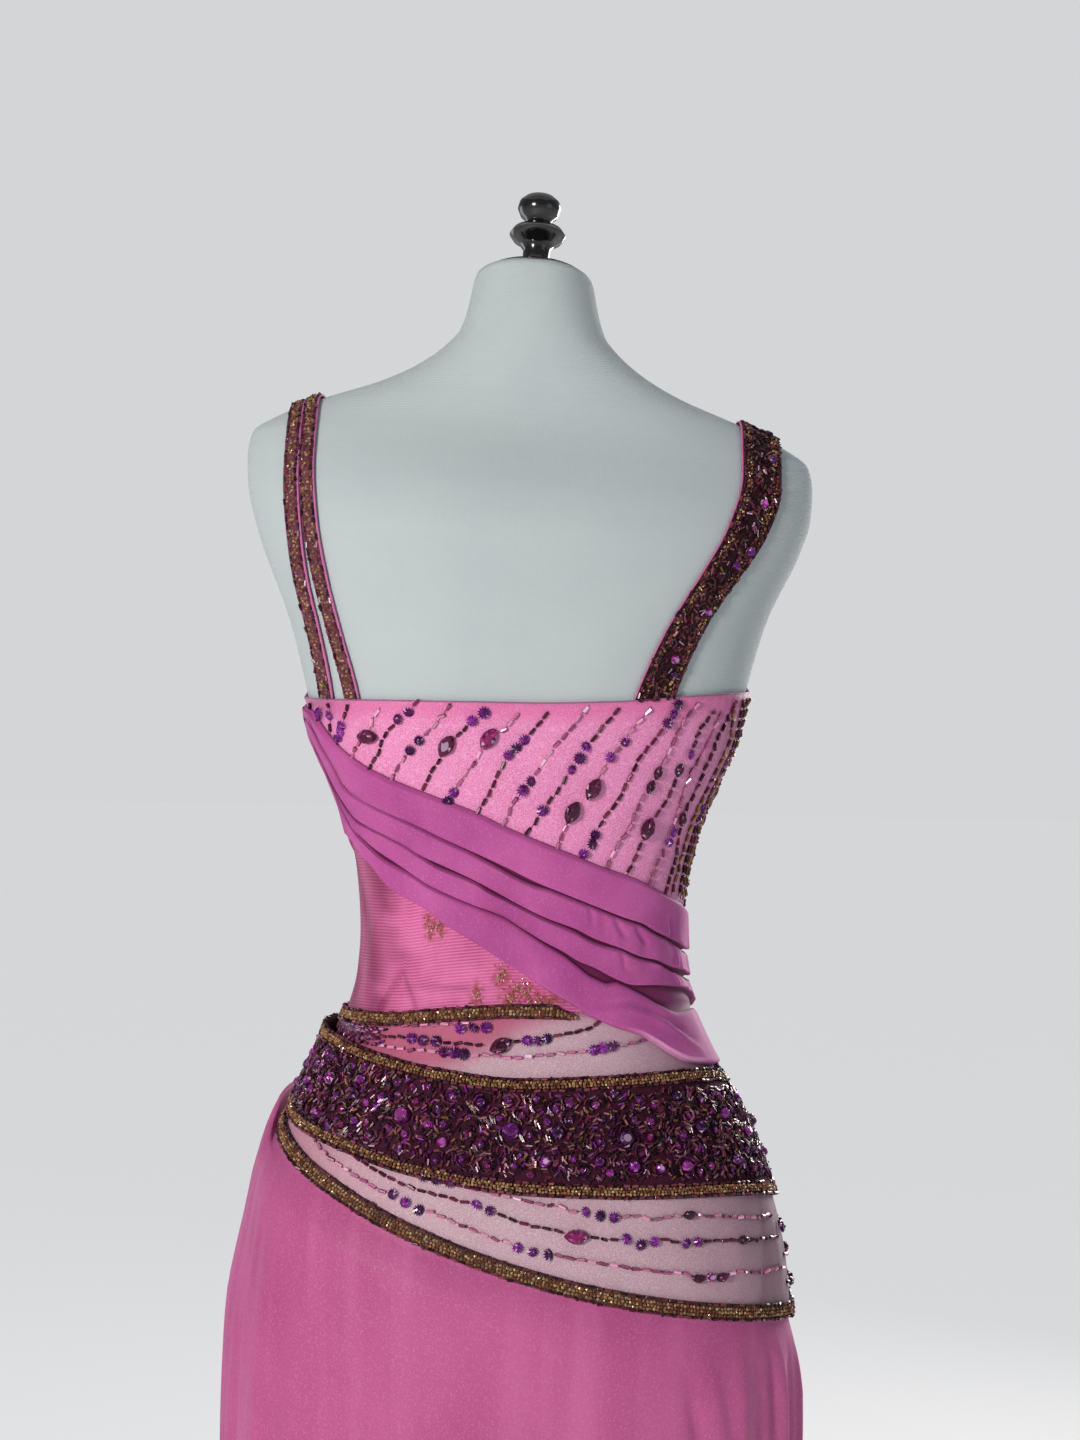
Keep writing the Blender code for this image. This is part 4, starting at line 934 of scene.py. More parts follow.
for side in ("back", "front"):
    theta = half_angles(side, 210)
    degrees = np.degrees(theta)
    edges = [around(*pairs(words).T, theta) for words in SASH_EDGES]
    # Rows down the sash: height, stand-out, depth of shade, share down the lowest fold, 1 between the edges
    rows = []
    for number in range(4):
        gape = around(*pairs(GAPES[number - 1]).T, theta) if number else 0 * theta
        top, bottom = edges[number] - gape, edges[number + 1]
        if number:
            rows += [(edges[number] - gape * share, SASH_LOW + 0.10 * gape, 1 - 18 * gape, 0.5, 1)
                     for share in (0.3, 0.6)]
        for share, down, out, depth in FOLD:
            if number == 0 and share == 0.0:
                out, depth = SASH_LOW - 0.0003 + 0.6 * (out - SASH_LOW), 0.35 * depth
            if number == 3 and share == 1.0:
                depth = 0.2 * depth
            at_edge = number == 0 and share < 0.12 or number == 3 and share > 0.95
            rows.append((top + (bottom - top) * share - down, out, depth, share if number == 3 else 0.5,
                         0 if at_edge else 1))
    height, out, depth, shares, inner = (np.stack([row[k] + 0 * theta for row in rows]) for k in range(5))
    # The sash lies flatter where it is caught at the left side, where its folds lie level with one another
    caught = bell(signed(degrees - 6), 17)
    flatter = np.clip(0.45 + 0.7 * (shares - 0.5), 0.45, 0.8)
    crown = SASH_LOW + 0.0048 * (1 - 0.45 * caught)
    out = SASH_LOW + (out - SASH_LOW) * (1 - flatter * caught)
    out = out + (crown - out) * 0.85 * bell(signed(degrees - 19), 10) * inner
    relief = waves(theta, height, SASH_CREASES)
    for path, wide, deep in SASH_FOLDS:
        relief = relief + deep / 1000 * crease(theta, height, path, wide)
    climbs = sum(crease(theta, height, path, wide) for path, wide in SASH_CLIMBS)
    out = out + (relief - 0.0014 * climbs) * np.clip((out - 0.0050) / 0.002, 0, 1)
    sash, points = half_cloth("sash_chiffon_", side, theta, height, out)
    # Painted shade in the gaps between the folds and along the lines where they climb at the left
    paint(sash, "fold_shade", np.maximum(depth, climbs))
    lowest = shares >= 0.965
    # A painted highlight along the rolled hem of the lowest fold, between 122 and 160 degrees
    paint(sash, "hem", lowest * 0.8 * ease_in(degrees, 122, 136) * (1 - ease_in(degrees, 150, 160)))
    thicken(sash, SASH_THICK)
    dress(sash, chiffon, "chiffon", "sash_" + side)


# The hip yoke. Pale illusion net over a nude lining, with strands of beads that follow the belt and
# bands. Towards the left it runs into the pink of the waist.
illusion, tree, shader = new_finish("illusion_net", "#CDB0B8", 0.6, Sheen_Weight=0.2)
cut = add_node(tree, "UVMap", uv_map="cut").outputs[0]
cells = add_node(tree, "TexVoronoi", {"Vector": cut, "Scale": 700.0},
                 feature="DISTANCE_TO_EDGE").outputs["Distance"]
net = add_node(tree, "MapRange", {"Value": cells, "From Min": 0.03, "From Max": 0.16, "To Min": 1.0,
                                  "To Max": 0.0}).outputs[0]
patches = add_node(tree, "TexNoise", {"Vector": cut, "Scale": 22.0, "Detail": 4.0}).outputs["Fac"]
pinkness = add_node(tree, "Attribute", attribute_name="pink").outputs["Fac"]
# Painted shade towards the right side, and a darker line and strip at the upright seam
shade_and_seam = add_node(tree, "Attribute", attribute_name="shade_and_seam").outputs["Fac"]
lay_finish(tree, shader, "#AE8494", [(patches, "#CCA8B6"), (net, "#D2B4C0"), (pinkness, "#B83E6E"),
                                     (shade_and_seam, "#7A4862")], (net, 0.00010, 0.6))
# The upright seam right of the middle: its angle and its lean in degrees a metre
YOKE_SEAM, YOKE_SEAM_LEAN = 150.2, 134
YOKE_CREASES = (
    (60, 890, 500, 6, 6, 0.7), (95, 868, 400, 8, 6, 0.6), (120, 976, 300, 8, 6, 0.6),
    (140, 850, 60, 2.5, 20, 0.7), (152, 845, 20, 2, 26, -0.6), (160, 845, 0, 2, 30, 0.8),
    (168, 840, 0, 1.6, 30, -0.6), (190, 845, -10, 3, 30, 0.8), (215, 860, -30, 4, 24, 0.7),
)
for side in ("back", "front"):
    theta = half_angles(side, 130)
    high = line_height("waist_seam", theta) - SEAM_GAP / 2
    low = line_height("skirt_seam", theta) + SEAM_GAP / 2
    height = high + (low - high) * np.linspace(0, 1, 38)[:, None]
    out = CLOTH_OUT + waves(theta, height, YOKE_CREASES)
    yoke, points = half_cloth("yoke_net_", side, theta, height, out)
    turned, degrees = np.degrees(theta), signed(np.degrees(theta))
    above_belt = ease_in(height, 0.955, 0.975) * (1 - ease_in(np.abs(degrees - 20), 85, 110))
    pale_line = 0.955 + 0.052 * ease_in(degrees, 48, 112)
    pink = ease_in(height - pale_line, -0.014, 0.010)
    below_belt = 0.45 * (1 - ease_in(degrees, 20, 75)) * (1 - ease_in(height, 0.92, 0.95))
    paint(yoke, "pink", np.clip(0.85 * pink * above_belt + below_belt, 0, 1))
    past_seam = turned - YOKE_SEAM - YOKE_SEAM_LEAN * (height - 0.85)
    seam = (ease_in(past_seam, -1.4, 0.0) + bell(past_seam - 0.4, 1.3)) * (height < 0.93)
    # Painted shade rising towards the right side, where the yoke turns from the light, plus the seam's
    # darker line and strip
    shade_and_seam = (0.62 * ease_in(turned, 112, 162) + 0.16 * seam) * (1 - ease_in(turned, 200, 250))
    paint(yoke, "shade_and_seam", shade_and_seam)
    thicken(yoke, CLOTH_THICK)
    dress(yoke, illusion, "net", "yoke_" + side)
    width = float(lengths(points[19])[-1])

# Strands of the yoke's back, marked like those of the bodice
YOKE_STRANDS = (
    ("light", ".52,992 .62,994 .75,997"),
    ("dark", ".30,983 .42,984 s57,985 s61,984 s65,984 .70,984 .80,983"),
    ("light", ".27,979 .40,979 .55,978 s68,978 s71,978 s74,977 .82,977 .91,976 .103,979 s113,981 "
              "s116,982 s119,983 .125,984 .131,986 .139,984"),
    ("dark", "s72,993 s76,993 s80,994"),
    ("dark", "n85,983 .88,985 s93,986 s96,986 s99,988 .103,990 .109,992 .114,995 .117,999"),
    ("light", ".43,926 .49,921 x58,913 .64,909 .67,908 s70,904 s73,902 s76,901 .81,898 .88,894 .93,891 "
              ".100,888 .102,886 s105,885 s108,883 s111,882 .116,883 .119,880 .125,881 m128,881 .134,879 "
              ".151,873 .160,870"),
    ("dark", ".29,928 s42,926 s46,923 .52,912 .60,904 .66,898 .72,894 .79,890 s82,888 s85,885 .86,884 "
             ".91,879 .99,874 n103,871 .107,870 .110,869 s113,869 s116,866 s119,867 .121,868 s126,865 "
             "s129,865 .137,864 m142,862 .162,856"),
    ("light", ".34,922 .47,908 .55,900 .61,894 s64,892 s67,888 s70,884 .73,883 .79,877 .84,871 .89,867 "
              "s91,864 s94,862 s97,860 .98,861 .103,857 .110,854 .116,850 .125,847 m128,843 m131,843 "
              "m134,842 .138,844 .148,840 .162,837"),
)


def drop_tubes(group, picks, centre, along, outward, size):
    """Drops plain short tubes of several tones, each tone where its pick says so."""
    size = np.broadcast_to(size, (len(centre), 3))
    for tone, chosen in picks:
        drop(group, "plain_tube", centre[chosen], along[chosen], outward[chosen], size[chosen], tone)


for tone, words in YOKE_STRANDS:
    lay_strand("yoke_back", tone, words, BEAD_OUT)
# Left of where the strands part, the strip between band and belt is closely beaded
STRIP_TUBE = (0.0036, 0.0017, 0.0017)
for group, low_angle, high_angle in (("yoke_back", 3, 47), ("yoke_front", 336, 357)):
    count = 24 * (high_angle - low_angle)
    angle = beads_random.uniform(low_angle, high_angle, count)
    if group == "yoke_back":
        angle = angle[beads_random.uniform(size=count) < 1.25 - angle / 40]
    above = line_height("waist_seam", np.radians(angle)) - 0.0055
    below = line_height("belt_top", np.radians(angle)) + 0.0015
    place, facing = spot(angle, below + (above - below) * beads_random.uniform(0, 1, len(angle)), BEAD_OUT)
    level = np.cross((0, 0, 1), facing) + 0.35 * beads_random.normal(size=facing.shape)
    pick = beads_random.uniform(size=len(angle))
    picks = ("dark", pick < 0.55), ("light", (pick >= 0.55) & (pick < 0.80)), ("sequin", pick >= 0.80)
    drop_tubes(group, picks, place, level, facing, STRIP_TUBE)
bead_piece("yoke_beads_back", "yoke_back", glass, "dark_beading")
for upper, lower, first, last, shares in (("belt_bottom", "skirt_seam", 165, 258, (0.28, 0.52, 0.76)),
                                          ("waist_seam", "belt_top", 196, 340, (0.36, 0.70))):
    for number, share in enumerate(shares):
        stop = last - 22 * (number if upper == "belt_bottom" else 0)
        angles = np.arange(first, stop, 4.0)
        high, low = line_height(upper, np.radians(angles)), line_height(lower, np.radians(angles))
        heights = 1000 * (high + (low - high) * share)
        letters = np.where(((np.arange(len(angles)) + 5 * number) % 13) < 2, "s", ".")
        letters[(np.arange(len(angles)) + 4 * number) % 17 == 9] = "m"
        words = " ".join(f"{a}{b:.1f},{c:.1f}" for a, b, c in zip(letters, angles, heights))
        lay_strand("yoke_front", ("dark", "light")[number % 2], words, BEAD_OUT)
bead_piece("yoke_beads_front", "yoke_front", glass, "dark_beading")


# The narrow bands. Ribbons closely sewn with rows of gold and bronze seed beads, and edged above and
# below with dark tube beads, over the seams at the waist and at the top of the skirt.
NARROW_BAND, NARROW_BAND_END, NARROW_BAND_FRONT = 0.0090, 109.0, 254.0
LOW_BAND = 0.0107
RIBBON_OUT, RIBBON_CROWN, RIBBON_THICK = 0.0034, 0.0010, 0.0005
SEED_SIZE, SEED_PITCH = 0.0022, 0.0023
EDGE_TUBE, EDGE_TUBE_WIDE, EDGE_PITCH = 0.0042, 0.0019, 0.0052
GLASS["gilt"] = ("#9C6C4A", "#AE8258", "#84543A", "#744632", "#B49A68")


def bead_row(group, path, facing, pitch, shape, size, tone, jitter=0.0002):
    """Beads at an even pitch along a path of points, each turned along it."""
    length = lengths(path)
    count = max(int(length[-1] / pitch), 1)
    at = (np.arange(count) + 0.5) * length[-1] / count
    way = unit(np.gradient(path, axis=0))
    centre, along, outward = (read_path(v, length, at) for v in (path, way, facing))
    centre = centre + beads_random.normal(size=(count, 3)) * jitter
    along = along + 0.08 * beads_random.normal(size=(count, 3))
    outward = outward + 0.3 * beads_random.normal(size=(count, 3))
    drop(group, shape, centre, along, outward, size, tone)


def beaded_ribbon(group, place, offsets, out):
    """Rows across a ribbon: dark tubes at its first and last offset, gold seeds between. place(offset, out)
    gives a row's path and outward directions."""
    for number, offset in enumerate(offsets):
        edge_row = number in (0, len(offsets) - 1)
        path, facing = place(offset, out + (0.0002 if edge_row else 0.0006 if number % 2 == 0 else 0.0004))
        if edge_row:
            size = (EDGE_TUBE, EDGE_TUBE_WIDE, EDGE_TUBE_WIDE)
            bead_row(group, path, facing, EDGE_PITCH, "tube", size, "rim")
        else:
            bead_row(group, path, facing, SEED_PITCH, "seed", SEED_SIZE, "gilt")


# Ribbon under the beads: dull bronze-brown grosgrain, seen only between them
ribbon_cloth, tree, shader = new_finish("bronze_ribbon", "#5A3A2C", 0.7)
cut = add_node(tree, "UVMap", uv_map="cut").outputs[0]
ribs = add_node(tree, "TexWave", {"Vector": cut, "Scale": threads(0.0012)},
                bands_direction="X").outputs["Fac"]
lay_finish(tree, shader, "#3E2420", [(ribs, "#6E4A34")], (ribs, 0.0002, 0.6))


def seam_band(name, side, line, width, first, last):
    """A ribbon over a sewn line of one half, with its rows of beads."""
    theta = np.radians(np.linspace(first, last, 240))
    middle = line_height(line, theta)
    high, low = middle + width / 2, middle - width / 2
    if line == "waist_seam":
        high = np.minimum(high, line_height("sash_bottom", theta) - 3 * SEAM_GAP)
        low = np.minimum(low, high - width / 4)

    def place(share, out):
        height = high + (low - high) * share
        return body_surface(theta, height, out), body_normal(theta, height)

    shares = np.array((0.0, 0.2, 0.5, 0.8, 1.0))
    rows = np.array([place(s, RIBBON_OUT + RIBBON_CROWN * math.sin(math.pi * s))[0] for s in shares])
    ribbon = grid_piece(name + "_ribbon_" + side, rows, cloth_uv(rows))
    thicken(ribbon, RIBBON_THICK)
    dress(ribbon, ribbon_cloth, "beading", name + "_" + side)
    beaded_ribbon(name + side, place, (0.08, 0.30, 0.50, 0.70, 0.92), RIBBON_OUT + 0.0011)
    beads = bead_piece(name + "_beads_" + side, name + side, glass, "beading")


seam_band("band_top", "back", "waist_seam", NARROW_BAND, 0.1, NARROW_BAND_END)
seam_band("band_top", "front", "waist_seam", NARROW_BAND, NARROW_BAND_FRONT, 359.9)
seam_band("band_low", "back", "skirt_seam", LOW_BAND, 0.1, 179.9)
seam_band("band_low", "front", "skirt_seam", LOW_BAND, 180.1, 359.9)


# The wide hip belt. A stiff band of plum net, closely covered with short tube beads that swirl round
# purple stones and sequins, with a beaded gold ribbon along its upper and lower edge.
BELT_FLARE, BELT_FLARE_SPREAD = 0.0075, 30.0
BELT_OUT, BELT_THICK = 0.0042, 0.0008
ROPE_WIDTH = 0.0088
# Small sequins: smallest and largest size, how far they keep from a stone's middle and tubes from theirs
SPANGLE_SMALL, SPANGLE_LARGE, SPANGLE_APART, SPANGLE_REACH = 0.0048, 0.0064, 0.0078, 0.0026
# Short tubes: how many to try on each half, shortest, longest, width
BELT_TUBES, BELT_TUBE_SHORT, BELT_TUBE_LONG, BELT_TUBE_WIDE = 4500, 0.0028, 0.0042, 0.0014
# Tubes keep this share of a stone's size from its middle
STONE_REACH = 0.56
STONES = np.array([
    # angle, height, size: those at the back as seen, the rest alike
    (34, 953, 9), (62, 938, 11), (81, 948, 7), (89, 932, 11.5), (100, 931, 9.5), (116, 927, 12),
    (97, 914, 8), (109, 914, 7.5), (117, 911, 7.5), (123, 909, 7), (130, 909, 8), (134, 950, 7),
    (138, 931, 9.5), (50, 932, 7), (73, 924, 7.5), (46, 956, 6.5), (22, 948, 7.5), (12, 962, 8),
    (8, 943, 7), (150, 936, 8), (147, 909, 8), (160, 922, 8.5), (168, 940, 7.5), (173, 905, 8),
    (182, 922, 10), (192, 938, 7), (199, 905, 9), (208, 930, 11), (220, 915, 8), (229, 940, 9),
    (238, 920, 11), (249, 946, 7), (257, 927, 9), (268, 943, 11.5), (276, 926, 7.5), (285, 957, 8.5),
    (296, 942, 11), (306, 962, 7.5), (313, 948, 9), (325, 966, 7.5), (332, 952, 10.5), (344, 966, 8),
    (352, 950, 9),
]) / (1, 1000, 1000)
GLASS["belt"] = ("#2C0C18", "#461428", "#1A0810", "#5E2038", "#7A3A50", "#341814", "#8E5E62", "#12060A")
GLASS["jewel"] = ("#4E1258", "#661C70", "#340A3C", "#7A2670")
GLASS["spangle"] = ("#5C1660", "#701C74", "#420E48", "#86307E", "#6A1850")


def belt_place(degrees, share, out):
    """Place and outward direction on the belt: a share of the way from its upper to its lower edge, standing
    away from the body at the left, most at the upper edge."""
    theta = np.radians(degrees)
    high, low = line_height("belt_top", theta), line_height("belt_bottom", theta)
    height = high + (low - high) * share
    flare = BELT_FLARE * bell(signed(degrees), BELT_FLARE_SPREAD) * (1 - share)
    return body_surface(theta, height, out + flare), body_normal(theta, height)


belt_cloth, tree, shader = new_finish("plum_net", "#2E1022", 0.85, Specular_IOR_Level=0.15)
cut = add_node(tree, "UVMap", uv_map="cut").outputs[0]
grain = add_node(tree, "TexNoise", {"Vector": cut, "Scale": 500.0, "Detail": 2.0}).outputs["Fac"]
lay_finish(tree, shader, "#1E0812", [(grain, "#54203A")], (grain, 0.0003, 0.6))

for side, first in (("back", 0.0), ("front", 180.0)):
    degrees = np.linspace(first + 0.1, first + 179.9, 160)
    shares = np.linspace(0, 1, 14)[:, None]
    rows = belt_place(degrees + 0 * shares, shares + 0 * degrees, BELT_OUT)[0]
    belt = grid_piece("belt_net_" + side, rows, cloth_uv(rows))
    thicken(belt, BELT_THICK)
    dress(belt, belt_cloth, "dark_beading", "belt_" + side)
    theta = np.radians(degrees)
    tall = line_height("belt_top", theta) - line_height("belt_bottom", theta)
    for edge in (0, 1):
        def place(share, out):
            reach = ROPE_WIDTH / tall
            at = share * reach if edge == 0 else 1 - (1 - share) * reach
            return belt_place(degrees, at, out)
        beaded_ribbon("rope" + side, place, (0.10, 0.32, 0.50, 0.68, 0.90), BELT_OUT + 0.0012)
    rope = bead_piece("belt_rope_" + side, "rope" + side, glass, "beading")

    inside = STONES[(STONES[:, 0] >= first) & (STONES[:, 0] < first + 180)]
    high, low = (line_height(name, np.radians(inside[:, 0])) for name in ("belt_top", "belt_bottom"))
    stone_share = (high - inside[:, 1]) / (high - low)
    centre, facing = belt_place(inside[:, 0], stone_share, BELT_OUT + 0.0008)
    size = inside[:, 2:]
    drop("fill" + side, "round", centre, np.cross(facing, (0, 0, 1)), facing, size * (1, 0.92, 0.9), "jewel")
    # Small sequins in uneven rows, then short tubes turned round the nearest stone or sequin
    across = first + np.arange(2.5, 178, 5.4)
    degrees_at, share_at = np.meshgrid(across, (0.22, 0.36, 0.50, 0.64, 0.78))
    degrees_at = degrees_at + 2.7 * (np.arange(5) % 2)[:, None]
    degrees_at = (degrees_at + beads_random.normal(0, 0.9, degrees_at.shape)).ravel()
    degrees_at = np.clip(degrees_at, first + 1.5, first + 178.5)
    share_at = share_at.ravel() + beads_random.normal(0, 0.025, degrees_at.shape)
    spots, facing = belt_place(degrees_at, share_at, BELT_OUT + 0.0010)
    clear = np.linalg.norm(spots[:, None] - centre[None], axis=2).min(1) > SPANGLE_APART
    clear = clear & (beads_random.uniform(size=len(spots)) < 0.85)
    spots, facing = spots[clear], facing[clear]
    turn = beads_random.normal(size=spots.shape)
    tipped = facing + 0.25 * beads_random.normal(size=spots.shape)
    sizes = beads_random.uniform(SPANGLE_SMALL, SPANGLE_LARGE, (len(spots), 1))
    drop("fill" + side, "sequin", spots, turn, tipped, sizes, "spangle")
    centres = np.concatenate((centre, spots))
    clear_of = np.concatenate((size[:, 0] * STONE_REACH, np.full(len(spots), SPANGLE_REACH)))
    degrees_at = beads_random.uniform(first + 0.6, first + 179.4, BELT_TUBES)
    share_at = beads_random.uniform(0.15, 0.85, BELT_TUBES)
    out = BELT_OUT + 0.0008 + 0.0012 * beads_random.uniform(size=BELT_TUBES)
    spots, facing = belt_place(degrees_at, share_at, out)
    apart = spots[:, None] - centres[None]
    distance = np.linalg.norm(apart, axis=2)
    nearest = distance.argmin(1)
    radial = apart[np.arange(BELT_TUBES), nearest]
    swirl = unit(np.cross(facing, radial)) + 0.35 * beads_random.normal(size=(BELT_TUBES, 3))
    clear = distance.min(1) > clear_of[nearest]
    size = (beads_random.uniform(BELT_TUBE_SHORT, BELT_TUBE_LONG, (BELT_TUBES, 1)) * (1, 0, 0)
            + (0, BELT_TUBE_WIDE, BELT_TUBE_WIDE))
    pick = beads_random.uniform(size=BELT_TUBES)
    picks = (("belt", (pick < 0.86) & clear), ("gold", (pick >= 0.86) & (pick < 0.91) & clear),
             ("sequin", (pick >= 0.91) & clear))
    drop_tubes("fill" + side, picks, spots, swirl, facing, size)
    fill = bead_piece("belt_beads_" + side, "fill" + side, glass, "dark_beading")
    width = float(lengths(rows[7])[-1])


# The shoulder straps. Pink satin tapes sewn with beads: two slim ones on the left shoulder with dark
# tubes along both edges and gold between, and a wide one on the right that is closely beaded all over.
STRAPS = np.array([
    # share of the way over, then the place across of the left outer, left inner and right straps
    (0, 126, 108.5, -81), (0.065, 134.5, 120.5, -98), (0.16, 143.5, 131, -121), (0.27, 149, 138.7, -139),
    (0.39, 152.6, 142.8, -149), (0.5, 153, 143.2, -150), (0.62, 150, 140, -147), (0.8, 133, 122.5, -130),
    (1, 112, 101, -106),
]) / (1, 1000, 1000, 1000)
STRAP_CROWDING, STRAP_CENTRE, SHOULDER_REACH = 0.6, 1.29, 0.25
STRAP_OUT, STRAP_THICK = 0.0018, 0.0012
SLIM_STRAP, WIDE_STRAP = 0.0094, 0.0260
STRAP_RIM_WIDE, STRAP_SEED_PITCH, STRAP_SEED = 0.0021, 0.0024, (0.0022, 0.0023, 0.0021)
# Short tubes on the wide strap: how many, shortest, longest, width
STRAP_TUBES, STRAP_TUBE_SHORT, STRAP_TUBE_LONG, STRAP_TUBE_WIDE = 1300, 0.0028, 0.0044, 0.0015


def strap_angle(x, height, side):
    """Angle, seen along X, of the form's surface at a place across and a height."""
    half, front, back = read_table(BODY, height, 1, 2, 3)
    depth = front + bust(x, height) if side == "front" else back
    y = depth * (1 - np.abs(x / half) ** BODY_POWER) ** (1 / BODY_POWER)
    return np.arctan2(height - STRAP_CENTRE, -y if side == "front" else y) % (2 * math.pi)


def shoulder_point(x, angle):
    """Where a ray from the shoulder's middle, seen along X, leaves the form, by halving the interval."""
    near, far = np.zeros(np.shape(x)), np.full(np.shape(x), SHOULDER_REACH)
    for _ in range(40):
        middle = (near + far) / 2
        y, height = middle * np.cos(angle), STRAP_CENTRE + middle * np.sin(angle)
        half, front, back = read_table(BODY, height, 1, 2, 3)
        depth = np.where(y < 0, front + bust(x, height), back)
        inside = np.abs(x / half) ** BODY_POWER + np.abs(y / depth) ** BODY_POWER < 1
        near, far = np.where(inside, middle, near), np.where(inside, far, middle)
    return np.stack((x, near * np.cos(angle), STRAP_CENTRE + near * np.sin(angle)), -1)


def edge_height(x, side):
    """Height of the bodice's top edge at a place across."""
    theta = (0.0 if side == "back" else math.pi) + np.linspace(0, math.pi, 400)
    edge = line_height("top_edge", theta)
    across = body_point(theta, edge)[:, 0]
    order = np.argsort(across)
    return np.interp(x, across[order], edge[order])


def strap_grid(column, width, stations, shares):
    """Points on the form under a strap and the outward directions there, rows along, columns across."""
    even = np.linspace(0, 1, stations)
    way = even + STRAP_CROWDING * np.sin(2 * math.pi * even) / (2 * math.pi)
    middle = smooth_curve(STRAPS[:, 0], STRAPS[:, column], way)
    x = middle[:, None] + (np.asarray(shares) - 0.5) * width
    start, end = (strap_angle(x[row], edge_height(x[row], side) + SEAM_GAP, side)
                  for row, side in ((0, "back"), (-1, "front")))
    start = np.where(start > math.pi, start - 2 * math.pi, start)
    angle = start + (end - start) * way[:, None]
    along = shoulder_point(x, angle + 0.001) - shoulder_point(x, angle - 0.001)
    sideways = shoulder_point(x + 0.001, angle) - shoulder_point(x - 0.001, angle)
    return shoulder_point(x, angle), unit(np.cross(along, sideways))


# Strap tape: the bodice's pink satin, with fine cross ribs
tape, tree, shader = new_finish("pink_satin_tape", "#D070B0", 0.55, Specular_IOR_Level=0.2)
cut = add_node(tree, "UVMap", uv_map="cut").outputs[0]
ribs = add_node(tree, "TexWave", {"Vector": cut, "Scale": threads(0.0010)},
                bands_direction="Y").outputs["Fac"]
covered = add_node(tree, "Attribute", attribute_name="beaded").outputs["Fac"]
lay_finish(tree, shader, "#B85A90", [(ribs, "#D884B4"), (covered, "#2E1014")], (ribs, 0.0001, 0.5))

for name, column, width, node in (("strap_outer", 1, SLIM_STRAP, "strap_left_outer"),
                                  ("strap_inner", 2, SLIM_STRAP, "strap_left_inner"),
                                  ("strap_wide", 3, WIDE_STRAP, "strap_right")):
    shares = np.array((0.0, 0.08, 0.11, 0.5, 0.8, 0.955, 0.975, 1.0))
    surface, facing = strap_grid(column, width, 160, shares)
    points = tilt_shoulders(surface + facing * (STRAP_OUT - 0.0003 * np.abs(2 * shares - 1)[:, None] ** 4))
    # Columns run the other way across so that the faces point out
    strap = grid_piece(name + "_tape", points[:, ::-1], cloth_uv(points))
    slim = column < 3
    covered = 0.8 * (shares > 0.1) if slim else shares < 0.96
    paint(strap, "beaded", np.broadcast_to(covered[::-1], points.shape[:2]))
    thicken(strap, STRAP_THICK)
    dress(strap, tape, "bodice_satin", node)
    # The pink edge shows on the neck side: the left straps' first share, the right strap's last
    offsets = (0.17, 0.35, 0.53, 0.71, 0.89) if slim else (0.05, 0.13, 0.21, 0.76, 0.84, 0.92)
    for number, share in enumerate(offsets):
        path, outward = strap_grid(column, width, 160, [share])
        rim = number in (0, len(offsets) - 1)
        path = tilt_shoulders(path[:, 0] + outward[:, 0] * (STRAP_OUT + (0.0010 if rim else 0.0012)))
        if rim:
            size = (EDGE_TUBE, STRAP_RIM_WIDE, STRAP_RIM_WIDE)
            bead_row(name, path, outward[:, 0], EDGE_PITCH, "tube", size, "rim", 0.0003)
        else:
            bead_row(name, path, outward[:, 0], STRAP_SEED_PITCH, "seed", STRAP_SEED, "gilt", 0.0004)
    if not slim:
        fine = np.linspace(0.06, 0.86, 25)
        path, outward = strap_grid(column, width, 400, fine)
        path = tilt_shoulders(path + outward * (STRAP_OUT + 0.0010))
        length = lengths(path[:, 12])
        row = np.interp(beads_random.uniform(0, length[-1], STRAP_TUBES), length, np.arange(400)).astype(int)
        col = beads_random.integers(0, 25, STRAP_TUBES)
        spots, facing = path[row, col], outward[row, col]
        spots = spots + facing * beads_random.uniform(0, 0.0014, (STRAP_TUBES, 1))
        size = (beads_random.uniform(STRAP_TUBE_SHORT, STRAP_TUBE_LONG, (STRAP_TUBES, 1)) * (1, 0, 0)
                + (0, STRAP_TUBE_WIDE, STRAP_TUBE_WIDE))
        pick = beads_random.uniform(size=STRAP_TUBES)
        lengthways = np.gradient(path[:, 12], axis=0)[row] * 400
        swirl = unit(lengthways) + 0.8 * beads_random.normal(size=(STRAP_TUBES, 3))
        picks = ("rim", pick < 0.5), ("gold", (pick >= 0.5) & (pick < 0.60)), ("belt", pick >= 0.60)
        drop_tubes(name, picks, spots, swirl, facing, size)
        # Stones nearer the arm side, in loose pairs
        at = np.array((.04, .07, .15, .24, .27, .36, .45, .54, .57, .66, .75, .84, .92)) * length[-1]
        jewels = np.interp(at, length, np.arange(400)).astype(int)
        col = np.array((6, 10, 4, 7, 4, 9, 5, 6, 10, 5, 8, 5, 9))
        drop(name, "round", path[jewels, col], (0, 0, 1) + 0 * path[jewels, col], outward[jewels, col],
             beads_random.uniform(0.0050, 0.0070, (13, 1)) * (1, 1, 0.8), "jewel")
    beads = bead_piece(name + "_beads", name, glass, "dark_beading" if not slim else "beading")


# The skirt. Satin-backed crepe in a back and a front panel, puffed over the left hip below the belt,
# close over hips and thighs, and flared from the knee in deep flutes down to the hem.
SKIRT = np.array([
    # height, half width, front, back, shift to the left, outline power
    (15, 345, 330, 350, 0, 2), (100, 312, 294, 312, 0, 2), (200, 262, 240, 258, 0, 2.05),
    (300, 214, 188, 206, 0, 2.1), (380, 184, 154, 170, 0, 2.15), (450, 172, 136, 148, 0, 2.2),
    (520, 172, 127, 137, 1, 2.3), (620, 183.5, 124, 135, 1.5, 2.35), (720, 190, 122, 135, -1, 2.35),
    (800, 187.5, 119, 133, -0.5, 2.35), (840, 182, 117, 131, 0, 2.35), (880, 172.5, 115, 127, 2, 2.35),
    (940, 154, 108, 116, 2, 2.35),
]) / (1000, 1000, 1000, 1000, 1000, 1)
